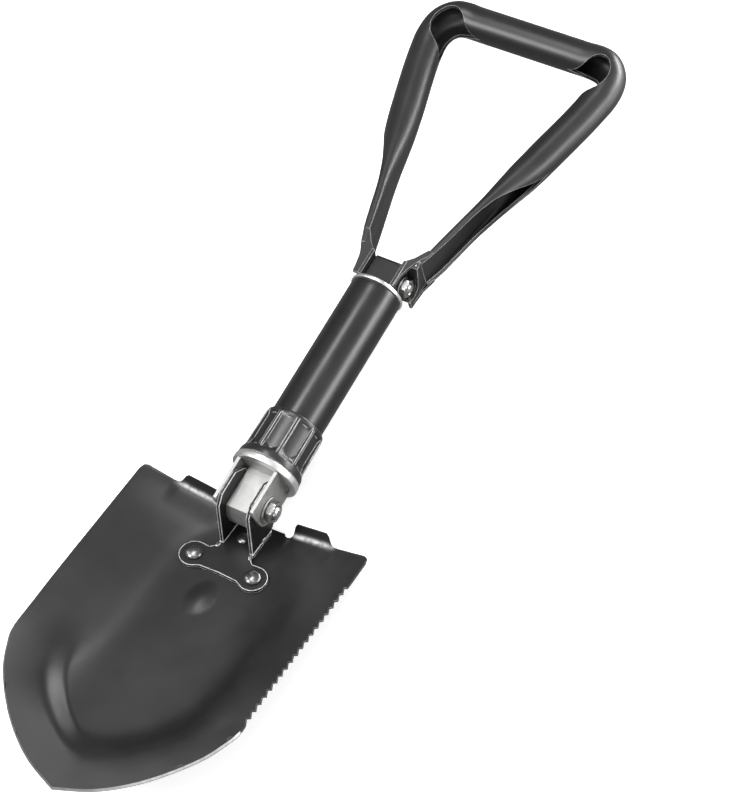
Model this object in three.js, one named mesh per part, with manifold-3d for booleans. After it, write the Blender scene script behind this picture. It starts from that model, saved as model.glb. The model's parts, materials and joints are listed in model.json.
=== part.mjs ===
// Folding camp shovel, open. Millimetres. +Y runs up the shaft to the grip,
// +Z is the blade's front, +X is the blade's serrated side.
import * as THREE from 'three';
import { mergeVertices } from 'three/addons/utils/BufferGeometryUtils.js';
import Module from 'manifold-3d';

const wasm = await Module();
wasm.setup();

// ---------- driving dimensions ----------
const PIVOT_LOW = 0;              // y of the blade hinge
const PIVOT_TOP = 163.3;          // y of the handle hinge
const FLOOR_Z0 = -26.9;           // dish floor height at the hinge
const FLOOR_SLOPE = -0.226;       // dish floor dz/dy
const SHEET_Z = 1.9;              // blade sheet, measured along z
const RIM_DROP = 15.6;            // rim above the dish floor
const RIM_MAX = 22.4;             // rim height at the tip
const HALF_W = 77.2;              // blade half width
const TIP_Y = -203.9;
const TEETH_Y0 = -22, TEETH_Y1 = -126, TEETH_N = 20, TEETH_D = 2.1;
const TUBE_R = 16.3, TUBE_T = 1.5, TUBE_Y0 = 24, TUBE_Y1 = 152.4;
const RING_Y0 = 17.6, RING_Y1 = 21.9, RING_R = 21.0, RING_BORE = 16.7;
const COLLAR_Y0 = 22.2, COLLAR_Y1 = 55.2;
const COLLAR_BORE = 16.7, COLLAR_FINS = 10;
const YOKE_X0 = 11.4, YOKE_W = 13.4;   // yoke side walls
const CHEEK_X0 = 9.0, CHEEK_X1 = 11.1; // bracket cheeks, inside the yoke's walls
const CHEEK_R = 17.3;             // swing radius of the cheek's lock corners
const LOW_BOLT_R = 3.9, TOP_BOLT_R = 2.9, FREE = 0.3;
const GRIP_Y = 354.9, GRIP_R = 10.9, ARM_A = 10.5, ARM_B = 10.6, HANDLE_T = 2.0;
const FOOT_X0 = 10.0, FOOT_X1 = 12.0, FOOT_R = 8.0;
// origin: middle of the bounding box in x and y, its lowest point in z
const SHIFT = [0, -80.97, 28.845];

// ---------- helpers ----------
function clean(g) {
  const c = g.clone();
  c.deleteAttribute('normal');
  if (c.getAttribute('uv')) c.deleteAttribute('uv');
  c.clearGroups();
  return mergeVertices(c, 1e-4);
}
function solid(g) {
  const c = clean(g);
  const pos = c.getAttribute('position');
  const idx = c.getIndex();
  return new wasm.Manifold(new wasm.Mesh({
    numProp: 3,
    vertProperties: Float32Array.from(pos.array),
    triVerts: Uint32Array.from(idx.array),
  }));
}
function geometry(m) {
  const mesh = m.getMesh();
  const g = new THREE.BufferGeometry();
  const n = mesh.vertProperties.length / mesh.numProp;
  const p = new Float32Array(n * 3);
  for (let i = 0; i < n; i++)
    for (let k = 0; k < 3; k++) p[3 * i + k] = mesh.vertProperties[i * mesh.numProp + k];
  g.setAttribute('position', new THREE.BufferAttribute(p, 3));
  g.setIndex(new THREE.BufferAttribute(new Uint32Array(mesh.triVerts), 1));
  g.computeVertexNormals();
  return g;
}
function poly(pts) {
  const s = new THREE.Shape();
  s.moveTo(pts[0][0], pts[0][1]);
  for (let i = 1; i < pts.length; i++) s.lineTo(pts[i][0], pts[i][1]);
  s.closePath();
  return s;
}
// prism of an outline given in (y, z), from x0 to x1
function prismX(pts, x0, x1) {
  const g = new THREE.ExtrudeGeometry(poly(pts), { depth: x1 - x0, bevelEnabled: false });
  const m = new THREE.Matrix4().set(0, 0, 1, x0, 1, 0, 0, 0, 0, 1, 0, 0, 0, 0, 0, 1);
  g.applyMatrix4(m);
  return g;
}
// prism of an outline given in (x, y), from z0 to z1
function prismZ(pts, z0, z1) {
  const g = new THREE.ExtrudeGeometry(poly(pts), { depth: z1 - z0, bevelEnabled: false });
  g.translate(0, 0, z0);
  return g;
}
// turned body about the y axis from (radius, y) pairs, closed profile
function turned(pts, seg) {
  const v = pts.map((p) => new THREE.Vector2(p[0], p[1]));
  return new THREE.LatheGeometry(v, seg);
}
// cylinder along x
function rodX(r, x0, x1, y, z, seg) {
  const g = new THREE.CylinderGeometry(r, r, x1 - x0, seg);
  g.rotateZ(-Math.PI / 2);
  g.translate((x0 + x1) / 2, y, z);
  return g;
}
function box(x0, x1, y0, y1, z0, z1) {
  const g = new THREE.BoxGeometry(x1 - x0, y1 - y0, z1 - z0);
  g.translate((x0 + x1) / 2, (y0 + y1) / 2, (z0 + z1) / 2);
  return g;
}
function add(list) {
  let m = solid(list[0]);
  for (let i = 1; i < list.length; i++) m = m.add(solid(list[i]));
  return m;
}
const smooth = (a, b, v) => {
  const t = Math.min(1, Math.max(0, (v - a) / (b - a)));
  return t * t * (3 - 2 * t);
};
const lerp = (a, b, t) => a + (b - a) * t;

const group = new THREE.Group();
group.name = 'camp_shovel';
group.position.set(SHIFT[0], SHIFT[1], SHIFT[2]);
function place(name, g, colour, roughness, metalness, parent) {
  const mesh = new THREE.Mesh(g, new THREE.MeshStandardMaterial({ color: colour, roughness, metalness }));
  mesh.name = name;
  (parent || group).add(mesh);
  return mesh;
}
const BLACK = 0x2b2b2c, SATIN = 0x353536, PLASTIC = 0x262627, ZINC = 0xb4b5b3, BRIGHT = 0xcfd0cf;

// ---------- blade ----------
const SIDE = [
  [77.2, -3], [77.0, -41], [76.8, -86], [76.4, -114], [76.1, -130], [73.4, -139.5],
  [65.7, -154.6], [51.0, -172.4], [35.9, -185.9], [19.9, -196.0], [0, TIP_Y],
];
function rimHalf(t) { return SIDE[t]; }
function segDist(px, py, a, b) {
  const dx = b[0] - a[0], dy = b[1] - a[1];
  const t = Math.min(1, Math.max(0, ((px - a[0]) * dx + (py - a[1]) * dy) / (dx * dx + dy * dy)));
  return Math.hypot(px - a[0] - t * dx, py - a[1] - t * dy);
}
// distance from the blade's side and tip edge; the top edge is not counted
function rimDistance(x, y) {
  const ax = Math.abs(x);
  let d = 1e9;
  const chain = [[77.2, 60]].concat(SIDE);
  for (let i = 0; i + 1 < chain.length; i++) d = Math.min(d, segDist(ax, y, chain[i], chain[i + 1]));
  let inside = true;
  if (y < -3) {
    let w = 0;
    for (let i = 0; i + 1 < SIDE.length; i++)
      if (y <= SIDE[i][1] && y >= SIDE[i + 1][1])
        w = lerp(SIDE[i][0], SIDE[i + 1][0], (y - SIDE[i][1]) / (SIDE[i + 1][1] - SIDE[i][1]));
    inside = ax <= w;
  } else inside = ax <= 77.2;
  return inside ? d : -d;
}
const floorZ = (y) => FLOOR_Z0 + FLOOR_SLOPE * y;
function rimZ(y) {
  const lin = floorZ(y) + RIM_DROP + 0.5;
  const k = 4;
  return -k * Math.log(Math.exp(-lin / k) + Math.exp(-(RIM_MAX + 0.4) / k));
}
function frontZ(x, y) {
  const yy = Math.min(y, 0.8);
  const ax = Math.abs(x);
  const d = rimDistance(x, yy);
  const s0 = lerp(14.5, 30, smooth(-2, -26, yy));
  const soft = 0.93 * Math.pow(Math.min(1, Math.max(0, (ax - s0) / (77 - s0))), lerp(0.85, 1.1, smooth(-2, -26, yy)));
  const crisp = 0.86 * smooth(33, 24.5, d) + 0.14 * smooth(24, 0, d);
  const t = smooth(-6, -104, yy);
  let z = floorZ(yy) + (rimZ(yy) - floorZ(yy)) * lerp(soft, crisp, t);
  const rib = smooth(10.5, 3.5, ax) * smooth(-70, -60, yy) * smooth(-46, -53, yy);
  z += 3.0 * rib;
  if (y > 0.8) z += (y - 0.8) * 1.5;   // step tabs, turned forward
  return z;
}
const XS = [0, 5, 10.5, 16, 22, 28, 34, 39.5, 44.5, 49.5, 55, 62, 70, 80];
const YS = [7, 0.8, -5, -13, -22, -31, -40, -46, -53, -60, -71, -80, -90, -100, -109, -117,
  -124, -131, -137, -143, -149, -155, -161, -167, -172.5, -178, -184, -191, -198, -207];
function bladeSlab() {
  const nx = 2 * (XS.length - 1), ny = YS.length - 1;
  const g = new THREE.BoxGeometry(2, 2, 2, nx, ny, 1);
  const p = g.getAttribute('position');
  for (let i = 0; i < p.count; i++) {
    const iu = Math.round(((p.getX(i) + 1) / 2) * nx) - (XS.length - 1);
    const iv = Math.round(((1 - p.getY(i)) / 2) * ny);
    const x = Math.sign(iu) * XS[Math.abs(iu)];
    const y = YS[iv];
    const z = frontZ(x, y);
    const back = p.getZ(i) < 0;
    p.setXYZ(i, x, y, back ? z - SHEET_Z : z);
  }
  return g;
}
function bladeOutline() {
  const half = [];       // right side from the middle of the top edge to the tip
  half.push([0, 0.2], [18.6, 0.2], [19.6, -1.2], [21.6, -2.0], [23.6, -1.2], [24.8, 0.4],
    [25.0, 4.0], [26.4, 5.3], [47.0, 5.3], [48.8, 4.4], [51.2, 1.6], [52.8, 0.8], [73.6, 2.0], [76.2, 1.0]);
  const right = half.slice();
  right.push([77.2, -3], [77.1, TEETH_Y0]);
  const pitch = (TEETH_Y0 - TEETH_Y1) / TEETH_N;
  for (let i = 0; i < TEETH_N; i++) {
    const y = TEETH_Y0 - i * pitch;
    const w = lerp(77.1, 76.2, (TEETH_Y0 - y) / (TEETH_Y0 - TEETH_Y1));
    right.push([w - TEETH_D, y - 0.5], [w - 0.1, y - pitch + 0.6]);
  }
  for (let i = 4; i < SIDE.length; i++) right.push(SIDE[i]);
  const left = [];
  for (let i = SIDE.length - 2; i >= 0; i--) left.push([-SIDE[i][0], SIDE[i][1]]);
  for (let i = half.length - 1; i > 0; i--) left.push([-half[i][0], half[i][1]]);
  return right.concat(left);
}
const tilt = Math.atan(-FLOOR_SLOPE);
// local frame of the dish floor: x, v up the floor, n out of its front
const floorFrame = new THREE.Matrix4().makeRotationX(-tilt).setPosition(0, 0, FLOOR_Z0);
const RIVETS = { bracket_rivet_l: [-20, -37.6, 3.1], bracket_rivet_r: [20, -37.6, 3.1], bracket_rivet_c: [0, -15.6, 2.4] };
function rivetHole(r) {
  const out = [];
  for (const k of Object.keys(RIVETS)) {
    const g = new THREE.CylinderGeometry(RIVETS[k][2] + FREE + r, RIVETS[k][2] + FREE + r, 24, 14);
    g.rotateX(Math.PI / 2);
    g.translate(RIVETS[k][0], RIVETS[k][1], 0);
    g.applyMatrix4(floorFrame);
    out.push(g);
  }
  return out;
}
let blade = solid(bladeSlab()).intersect(solid(prismZ(bladeOutline(), -60, 60)));
for (const h of rivetHole(0)) blade = blade.subtract(solid(h));
place('blade', geometry(blade), BLACK, 0.48, 0.55);

// ---------- bracket ----------
function bracketPlate() {
  const r = [[11.5, -3], [11.5, -26.4], [14.6, -29.2]];
  const c = [20, -37.6], R = 8.8;
  for (let a = 100; a >= -110; a -= 15) r.push([c[0] + R * Math.cos((a * Math.PI) / 180), c[1] + R * Math.sin((a * Math.PI) / 180)]);
  r.push([12.5, -43.6], [0, -43.0]);
  const l = r.slice(0, -1).reverse().map((p) => [-p[0], p[1]]);
  const g = prismZ(r.concat(l), FREE, FREE + 2.2);
  g.applyMatrix4(floorFrame);
  return g;
}
function cheekOutline() {
  const s = [Math.cos((165 * Math.PI) / 180), Math.sin((165 * Math.PI) / 180)]; // fold lock direction
  const F = 15.5, FL = 16.2;
  const e = Math.sqrt(CHEEK_R * CHEEK_R - F * F), eL = Math.sqrt(CHEEK_R * CHEEK_R - FL * FL);
  const foot = [FL * s[0], FL * s[1]];
  const along = [s[1], -s[0]];     // towards +z along the fold lock flat
  const out = [[F, -9], [F, e], [e, F], [-e, F]];
  out.push([foot[0] + eL * along[0], foot[1] + eL * along[1]]);
  const down = (foot[1] + 20.0) / along[1];
  out.push([foot[0] - down * along[0], foot[1] - down * along[1]]);
  out.push([-22.4, floorZ(-22.4) + FREE + 0.6], [-3.4, floorZ(-3.4) + FREE + 0.6], [4, -20]);
  return out;
}
const cheekPts = cheekOutline();
let bracket = add([
  bracketPlate(),
  prismX(cheekPts, CHEEK_X0, CHEEK_X1),
  prismX(cheekPts, -CHEEK_X1, -CHEEK_X0),
]);
for (const h of rivetHole(0)) bracket = bracket.subtract(solid(h));
bracket = bracket.subtract(solid(rodX(LOW_BOLT_R + FREE, -40, 40, PIVOT_LOW, 0, 20)));
place('blade_bracket', geometry(bracket), BLACK, 0.4, 0.55);

// ---------- rivets ----------
for (const k of Object.keys(RIVETS)) {
  const [x, v, r] = RIVETS[k];
  const top = 2.2 + 2 * FREE, low = -SHEET_Z * Math.cos(tilt) - FREE;
  const hr = k === 'bracket_rivet_c' ? r + 1.5 : r + 2.2, hh = k === 'bracket_rivet_c' ? 1.7 : 2.9;
  const prof = [[0, low - 1.2], [r + 0.8, low - 1.0], [r + 1.5, low - 0.4], [r + 1.5, low], [r, low], [r, top], [hr, top],
    [hr, top + 0.3 * hh], [hr * 0.7, top + 0.8 * hh], [0, top + hh]];
  const g = turned(prof, 12);
  g.rotateX(Math.PI / 2);
  g.translate(x, v, 0);
  g.applyMatrix4(floorFrame);
  place(k, clean(g), BRIGHT, 0.3, 0.9);
}

// ---------- hinge yoke ----------
const yokeCore = [[17.3, -13.6], [17.4, -8.6], [18.2, -8.6], [18.2, 5], [-9, 5], [-11.8, -2], [-11.8, -9.4], [-8.4, -13.6]];
const yokeWall = [[17.3, -13.6], [17.4, -8.6], [18.2, -8.6], [18.2, 8.6], [17.4, 8.6], [17.3, 15.5], [-11.2, 15.5], [-12.2, 13.4], [-11.4, 7.0], [-10.6, 0],
  [-9.2, -5.3], [-5.3, -9.2], [0, -10.6], [5, -13.6]];
let yoke = add([
  prismX(yokeCore, -8.7, 8.7),
  prismX(yokeWall, YOKE_X0, YOKE_W),
  prismX(yokeWall, -YOKE_W, -YOKE_X0),
  turned([[0, 17.7], [16.2, 17.7], [16.2, 23.6], [14.4, 23.6], [14.4, 66], [0, 66]], 32),
]);
yoke = yoke.subtract(solid(rodX(LOW_BOLT_R + FREE, -40, 40, PIVOT_LOW, 0, 20)));
place('hinge_yoke', geometry(yoke), ZINC, 0.38, 0.85);

// ---------- lower pivot ----------
function hexNut(af, x0, x1, bore, y) {
  const r = af / 2 / Math.cos(Math.PI / 6);
  const g = rodX(r, x0, x1, y, 0, 6);
  g.translate(0, -y, 0); g.rotateX(Math.PI / 6 + 0.2); g.translate(0, y, 0);
  return solid(g).subtract(solid(rodX(bore, x0 - 5, x1 + 5, y, 0, 16)));
}
function washer(r, bore, x0, x1, y) {
  const a = turned([[bore, x0], [r, x0], [r, x1], [bore, x1], [bore, x0]], 18);
  a.rotateZ(-Math.PI / 2);
  a.translate(0, y, 0);
  return clean(a);
}
function bolt(r, headR, xHead, headT, xEnd, y) {
  // head on the left
  const a = turned([[0, xHead - headT], [headR * 0.6, xHead - headT], [headR, xHead - headT * 0.55], [headR, xHead], [r, xHead],
    [r, xEnd - 0.8], [r - 0.8, xEnd], [0, xEnd]], 16);
  a.rotateZ(-Math.PI / 2);
  a.translate(0, y, 0);
  return clean(a);
}
place('hinge_bolt_lower', bolt(LOW_BOLT_R, 6.6, -15.1, 3.4, 20.6, PIVOT_LOW), BRIGHT, 0.3, 0.9);
place('hinge_washer_lower_r', washer(8.2, LOW_BOLT_R + FREE, 13.7, 14.7, PIVOT_LOW), BRIGHT, 0.32, 0.9);
place('hinge_washer_lower_l', washer(8.2, LOW_BOLT_R + FREE, -14.7, -13.7, PIVOT_LOW), BRIGHT, 0.32, 0.9);
place('hinge_nut_lower', geometry(hexNut(12, 15.0, 19.2, LOW_BOLT_R + FREE, PIVOT_LOW)), BRIGHT, 0.28, 0.9);

// ---------- collar ring and collar ----------
place('collar_ring', clean(turned([[RING_BORE, RING_Y0], [RING_R - 0.5, RING_Y0], [RING_R, RING_Y0 + 0.7], [RING_R, RING_Y1 - 0.7],
  [RING_R - 0.5, RING_Y1], [RING_BORE, RING_Y1], [RING_BORE, RING_Y0]], 32)), ZINC, 0.36, 0.85);
let collar = solid(turned([[COLLAR_BORE, COLLAR_Y0], [20.2, COLLAR_Y0], [20.5, COLLAR_Y0 + 0.8], [20.1, COLLAR_Y0 + 4.6], [18.6, COLLAR_Y0 + 6.2],
  [17.8, COLLAR_Y0 + 7.0], [17.6, COLLAR_Y1 - 3.2], [18.1, COLLAR_Y1 - 2.6], [17.9, COLLAR_Y1 - 0.6], [17.3, COLLAR_Y1],
  [COLLAR_BORE, COLLAR_Y1], [COLLAR_BORE, COLLAR_Y0]], 40));
for (let i = 0; i < COLLAR_FINS; i++) {
  const fin = new THREE.ExtrudeGeometry(poly([[17.2, COLLAR_Y0 + 5], [19.7, COLLAR_Y0 + 5], [19.3, COLLAR_Y1 - 3.4], [18.2, COLLAR_Y1 - 2.2], [17.2, COLLAR_Y1 - 2.2]]),
    { depth: 2.4, bevelEnabled: false });
  fin.translate(0, 0, -1.2);
  fin.rotateY(((24 + i * 36) * Math.PI) / 180);
  collar = collar.add(solid(fin));
}
place('collar', geometry(collar), PLASTIC, 0.42, 0.1);

// ---------- shaft tube, stop ring, tongue ----------
place('shaft_tube', clean(turned([[TUBE_R - TUBE_T, TUBE_Y0], [TUBE_R, TUBE_Y0], [TUBE_R, TUBE_Y1], [TUBE_R - TUBE_T, TUBE_Y1], [TUBE_R - TUBE_T, TUBE_Y0]], 36)),
  SATIN, 0.36, 0.6);
place('tube_ring', clean(turned([[10.9, 152.7], [16.9, 152.7], [17.2, 153.0], [17.2, 154.6], [16.8, 155.0], [10.9, 155.0], [10.9, 152.7]], 30)), BRIGHT, 0.3, 0.85);
const tongueBlock = [[150, -7.6], [172.8, -7.6], [174.4, -6], [174.4, 6], [172.8, 7.6], [150, 7.6]];
let tongue = add([
  turned([[0, 118], [14.4, 118], [14.4, 152.0], [10.5, 152.0], [10.5, 155.0], [0, 155.0]], 24),
  prismX(tongueBlock, -9.5, 9.5).clone(),
]);
// the block is narrowed to the ring's bore where it passes through it
tongue = tongue.subtract(solid(turned([[10.5, 152.4], [30, 152.4], [30, 155.4], [10.5, 155.4], [10.5, 152.4]], 32)));
tongue = tongue.subtract(solid(rodX(TOP_BOLT_R + FREE, -40, 40, PIVOT_TOP, 0, 20)));
place('handle_tongue', geometry(tongue), BLACK, 0.5, 0.5);

// ---------- handle frame ----------
// centre line of the right half, from the foot to the middle of the grip
// each station: x, y, half width, half depth, half opening in degrees, squareness
const ARM = [
  [19.9, 176.5, 2.3, 12.2, 66, 4], [22.8, 186, 3.1, 12.2, 64, 4], [26.3, 200, 3.8, 12.1, 60, 3.8],
  [30.3, 216, 4.4, 12.0, 56, 3.4], [34.8, 232, 6.0, 11.8, 48, 2.8], [39.3, 248, 8.2, 11.4, 32, 2.3],
  [43.3, 262, 9.8, 11.0, 12, 2], [48.0, 280, ARM_A, ARM_B, 5, 2], [53.2, 300, ARM_A, ARM_B, 4, 2],
];
const LOOP = [
  [50.1, 288, ARM_A, ARM_B, 4, 2], [53.2, 300, ARM_A, ARM_B, 5, 2], [55.9, 311, ARM_A, ARM_B, 5, 2], [58.2, 322, 10.5, 10.8, 14, 2],
  [59.6, 332, 10.7, 11.4, 50, 2.1], [59.4, 340.5, 10.9, 12.0, 60, 2.1], [57.8, 346.5, 11.2, 12.2, 62, 2.1],
  [55.0, 350.7, 11.2, 12.2, 62, 2.1], [51.5, 353.5, 11.2, 12.0, 58, 2.1], [46.0, GRIP_Y, 11.0, 11.6, 44, 2.05],
  [38.0, GRIP_Y, GRIP_R, GRIP_R, 12, 2], [20.0, GRIP_Y, GRIP_R, GRIP_R, 4, 2], [0, GRIP_Y, GRIP_R, GRIP_R, 4, 2],
];
// sheet section: opening angle, half depths, along the run
function sheetTube(stations, ns) {
  // stations: {x, y, tx, ty, a, b, open (degrees, half), dir (+1 opens outwards), sq}
  const nt = stations.length - 1;
  const g = new THREE.BoxGeometry(2, 2, 2, ns, 1, nt);
  const p = g.getAttribute('position');
  for (let i = 0; i < p.count; i++) {
    const s = (p.getX(i) + 1) / 2;
    const outer = p.getY(i) > 0;
    const k = Math.round(((p.getZ(i) + 1) / 2) * nt);
    const st = stations[k];
    const half = (st.open * Math.PI) / 180;
    const ang = half + s * (2 * Math.PI - 2 * half);
    const off = outer ? 0 : HANDLE_T;
    const ca = Math.cos(ang), sa = Math.sin(ang);
    const q = 2 / st.sq;
    const cx = Math.sign(ca) * Math.pow(Math.abs(ca), q) * (st.a - off);
    const cz = Math.sign(sa) * Math.pow(Math.abs(sa), q) * (st.b - off);
    // n points away from the middle of the frame
    const nx = st.ty, ny = -st.tx;
    const w = st.dir * cx;
    p.setXYZ(i, st.x + nx * w, st.y + ny * w, cz);
  }
  return g;
}
function flipIfNeeded(g) {
  const c = clean(g);
  const pos = c.getAttribute('position'), idx = c.getIndex();
  let vol = 0;
  const a = new THREE.Vector3(), b = new THREE.Vector3(), d = new THREE.Vector3();
  for (let i = 0; i < idx.count; i += 3) {
    a.fromBufferAttribute(pos, idx.getX(i)); b.fromBufferAttribute(pos, idx.getX(i + 1)); d.fromBufferAttribute(pos, idx.getX(i + 2));
    vol += a.dot(b.cross(d));
  }
  if (vol < 0) for (let i = 0; i < idx.count; i += 3) { const t = idx.getX(i); idx.setX(i, idx.getX(i + 1)); idx.setX(i + 1, t); }
  return c;
}
function stations(rows) {
  return rows.map((q, i) => {
    const a = rows[Math.max(0, i - 1)], b = rows[Math.min(rows.length - 1, i + 1)];
    const l = Math.hypot(b[0] - a[0], b[1] - a[1]);
    return { x: q[0], y: q[1], tx: (b[0] - a[0]) / l, ty: (b[1] - a[1]) / l, a: q[2], b: q[3], open: q[4], sq: q[5] };
  });
}
// lower arm: channel that opens outwards and closes into a tube
function lowerArm(sign) {
  const st = stations(ARM).map((q) => (sign > 0 ? { ...q, dir: 1 } : { ...q, x: -q.x, tx: -q.tx, dir: -1 }));
  return flipIfNeeded(sheetTube(st, 12));
}
// upper loop: tube whose seam is on the inside and opens at both corners
function upperLoop() {
  const rows = LOOP.concat(LOOP.slice(0, -1).reverse().map((q) => [-q[0], q[1], q[2], q[3], q[4], q[5]]));
  return flipIfNeeded(sheetTube(stations(rows).map((q) => ({ ...q, dir: -1 })), 12));
}
function footPart(sign) {
  const P = PIVOT_TOP;
  const arc = (r, a0, a1, n) => {
    const o = [];
    for (let i = 0; i <= n; i++) { const t = ((a0 + ((a1 - a0) * i) / n) * Math.PI) / 180; o.push([P + r * Math.cos(t), r * Math.sin(t)]); }
    return o;
  };
  // plate beside the tongue; angle 0 is +y, 90 is +z
  const ear = [[P - 7.6, 12.4], [P + 10.7, 12.4]].concat(arc(FOOT_R, 0, -165, 11), [[P - 7.6, -1.6]]);
  const shelf = [[P + 8.7, 10.6], [P + 10.7, 10.6]].concat(arc(FOOT_R, 0, -140, 10), arc(FOOT_R - 1.3, -140, 0, 10), [[P + 8.6, 9.0]]);
  const webPlate = [[P + 16, 12.2], [P + 13, 12.2], [P + 10.2, 9.5], [P + 6.3, 0]].concat(arc(FOOT_R - 1.6, -10, -120, 8), [[P - 5.2, -7], [P - 5.2, -12.3], [P + 16, -12.3]]);
  // front flange: cut back beside the nut, wider on the bolt head's side
  const flange = [[FOOT_X0, P - 7.6]].concat(sign > 0
    ? [[12.3, P - 7.6], [12.8, P - 0.9], [14.1, P + 4.2], [15.8, P + 8.7], [18.8, P + 14.6], [21.8, P + 18.9]]
    : [[15.6, P - 7.6], [16.4, P - 1.6], [18.0, P + 6.0], [20.9, P + 12.4], [22.8, P + 18.0]],
  [[23.4, P + 22], [20.6, P + 23], [18.8, P + 20.7], [15.1, P + 15], [11.4, P + 11.4], [FOOT_X0, P + 10.6]]);
  const parts = [
    prismX(ear, FOOT_X0, FOOT_X1),
    prismX(shelf, FOOT_X0, 19.6),
    prismX(webPlate, 17.6, 19.6),
    prismZ(flange, 10.2, 12.3),
    prismZ([[17.6, P - 5.4], [19.4, P - 5.4], [20.6, P + 8], [23.4, P + 17.5], [22, P + 21], [17.6, P + 15]], -12.3, -10.2),
  ];
  return parts.map((g) => { if (sign < 0) { g.scale(-1, 1, 1); return flipIfNeeded(g); } return g; });
}
let handle = add([upperLoop(), lowerArm(1), lowerArm(-1)].concat(footPart(1), footPart(-1)));
handle = handle.subtract(solid(rodX(TOP_BOLT_R + FREE, -40, 40, PIVOT_TOP, 0, 20)));
place('handle_frame', geometry(handle), SATIN, 0.4, 0.55);

// ---------- upper pivot ----------
place('hinge_bolt_upper', bolt(TOP_BOLT_R, 5.6, -13.4, 2.6, 18.2, PIVOT_TOP), BRIGHT, 0.3, 0.9);
place('hinge_washer_upper_r', washer(6.3, TOP_BOLT_R + FREE, 12.3, 13.1, PIVOT_TOP), BRIGHT, 0.32, 0.9);
place('hinge_washer_upper_l', washer(6.3, TOP_BOLT_R + FREE, -13.1, -12.3, PIVOT_TOP), BRIGHT, 0.32, 0.9);
place('hinge_nut_upper', geometry(hexNut(11.0, 13.4, 17.4, TOP_BOLT_R + FREE, PIVOT_TOP)), BRIGHT, 0.28, 0.9);

export default group;
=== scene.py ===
import json
import math

import bmesh
import bpy
import numpy as np
from mathutils import Matrix, Vector
from mathutils.geometry import delaunay_2d_cdt


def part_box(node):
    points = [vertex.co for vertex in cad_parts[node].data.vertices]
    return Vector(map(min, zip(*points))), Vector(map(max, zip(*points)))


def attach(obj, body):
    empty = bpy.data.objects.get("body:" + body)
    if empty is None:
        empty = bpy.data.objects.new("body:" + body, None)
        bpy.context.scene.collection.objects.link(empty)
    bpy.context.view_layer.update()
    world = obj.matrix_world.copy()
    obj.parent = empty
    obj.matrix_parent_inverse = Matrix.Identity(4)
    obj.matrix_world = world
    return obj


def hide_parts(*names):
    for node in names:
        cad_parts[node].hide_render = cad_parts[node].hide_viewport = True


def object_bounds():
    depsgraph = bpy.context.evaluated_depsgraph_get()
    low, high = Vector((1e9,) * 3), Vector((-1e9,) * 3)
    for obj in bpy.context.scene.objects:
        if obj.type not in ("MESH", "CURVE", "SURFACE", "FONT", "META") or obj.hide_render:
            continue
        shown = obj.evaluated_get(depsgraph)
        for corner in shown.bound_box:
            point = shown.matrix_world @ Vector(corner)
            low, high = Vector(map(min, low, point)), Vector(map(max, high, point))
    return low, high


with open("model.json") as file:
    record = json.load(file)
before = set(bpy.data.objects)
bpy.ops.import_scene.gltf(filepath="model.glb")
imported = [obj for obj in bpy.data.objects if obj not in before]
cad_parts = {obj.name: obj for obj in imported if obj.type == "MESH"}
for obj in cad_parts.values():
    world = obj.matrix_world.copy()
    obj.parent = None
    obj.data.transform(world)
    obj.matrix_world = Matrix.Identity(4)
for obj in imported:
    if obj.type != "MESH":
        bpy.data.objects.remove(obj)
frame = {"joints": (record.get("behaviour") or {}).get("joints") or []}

CAD_LO, CAD_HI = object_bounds()
scene = bpy.context.scene
JOINT = {j["name"]: j for j in frame["joints"]}
LOW = np.array(JOINT["blade_fold"]["pos_m"], float)     # blade hinge
TOP = np.array(JOINT["handle_fold"]["pos_m"], float)    # handle hinge
P = (TOP[1] - LOW[1]) * 1000.0


def span(node, axis):
    """A CAD node's range along an axis, in millimetres from the blade hinge."""
    lo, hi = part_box(node)
    return (lo[axis] - LOW[axis]) * 1000.0, (hi[axis] - LOW[axis]) * 1000.0


# ------------------------------------------------------------------ helpers
def smooth(a, b, v):
    t = np.clip((np.asarray(v, float) - a) / (b - a), 0.0, 1.0)
    return t * t * (3 - 2 * t)


def lerp(a, b, t):
    return a + (b - a) * t


def add_object(name, verts, faces, materials, body, sharp=35.0, face_mats=None):
    """verts in millimetres from the blade hinge."""
    me = bpy.data.meshes.new(name)
    co = np.asarray(verts, float) / 1000.0 + LOW
    me.from_pydata([tuple(v) for v in co], [], [tuple(int(i) for i in f) for f in faces])
    me.update()
    for m in materials:
        me.materials.append(m)
    if face_mats is not None:
        me.polygons.foreach_set("material_index", np.asarray(face_mats, np.int32))
    me.shade_smooth()
    if sharp is not None:
        me.set_sharp_from_angle(angle=math.radians(sharp))
    ob = bpy.data.objects.new(name, me)
    scene.collection.objects.link(ob)
    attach(ob, body)
    return ob


def weight_normals(ob, sharp=40.0):
    """Corner normals weighted by face area, so that wide flat faces stay flat."""
    me = ob.data
    n_l = len(me.loops)
    lv = np.zeros(n_l, np.int32)
    me.loops.foreach_get("vertex_index", lv)
    lf = np.repeat(np.arange(len(me.polygons)), [q.loop_total for q in me.polygons])
    fn = np.array([q.normal for q in me.polygons])
    fa = np.array([q.area for q in me.polygons]) ** 1.3
    order = np.argsort(lv, kind="stable")
    cut = np.searchsorted(lv[order], np.arange(len(me.vertices) + 1))
    out = np.zeros((n_l, 3))
    c = math.cos(math.radians(sharp))
    for a, b in zip(cut, cut[1:]):
        ls = order[a:b]
        if len(ls) == 0:
            continue
        nn, ww = fn[lf[ls]], fa[lf[ls]]
        close = (nn @ nn.T) > c
        q = close @ (nn * ww[:, None])
        out[ls] = q / np.maximum(np.linalg.norm(q, axis=1), 1e-12)[:, None]
    me.normals_split_custom_set([tuple(q) for q in out])
    return ob


def evaluated(ob):
    dg = bpy.context.evaluated_depsgraph_get()
    return bpy.data.meshes.new_from_object(ob.evaluated_get(dg))


def arrays(me):
    v = np.array([x.co for x in me.vertices], float).reshape(-1, 3)
    f = [tuple(p.vertices) for p in me.polygons]
    return v, f


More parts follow.
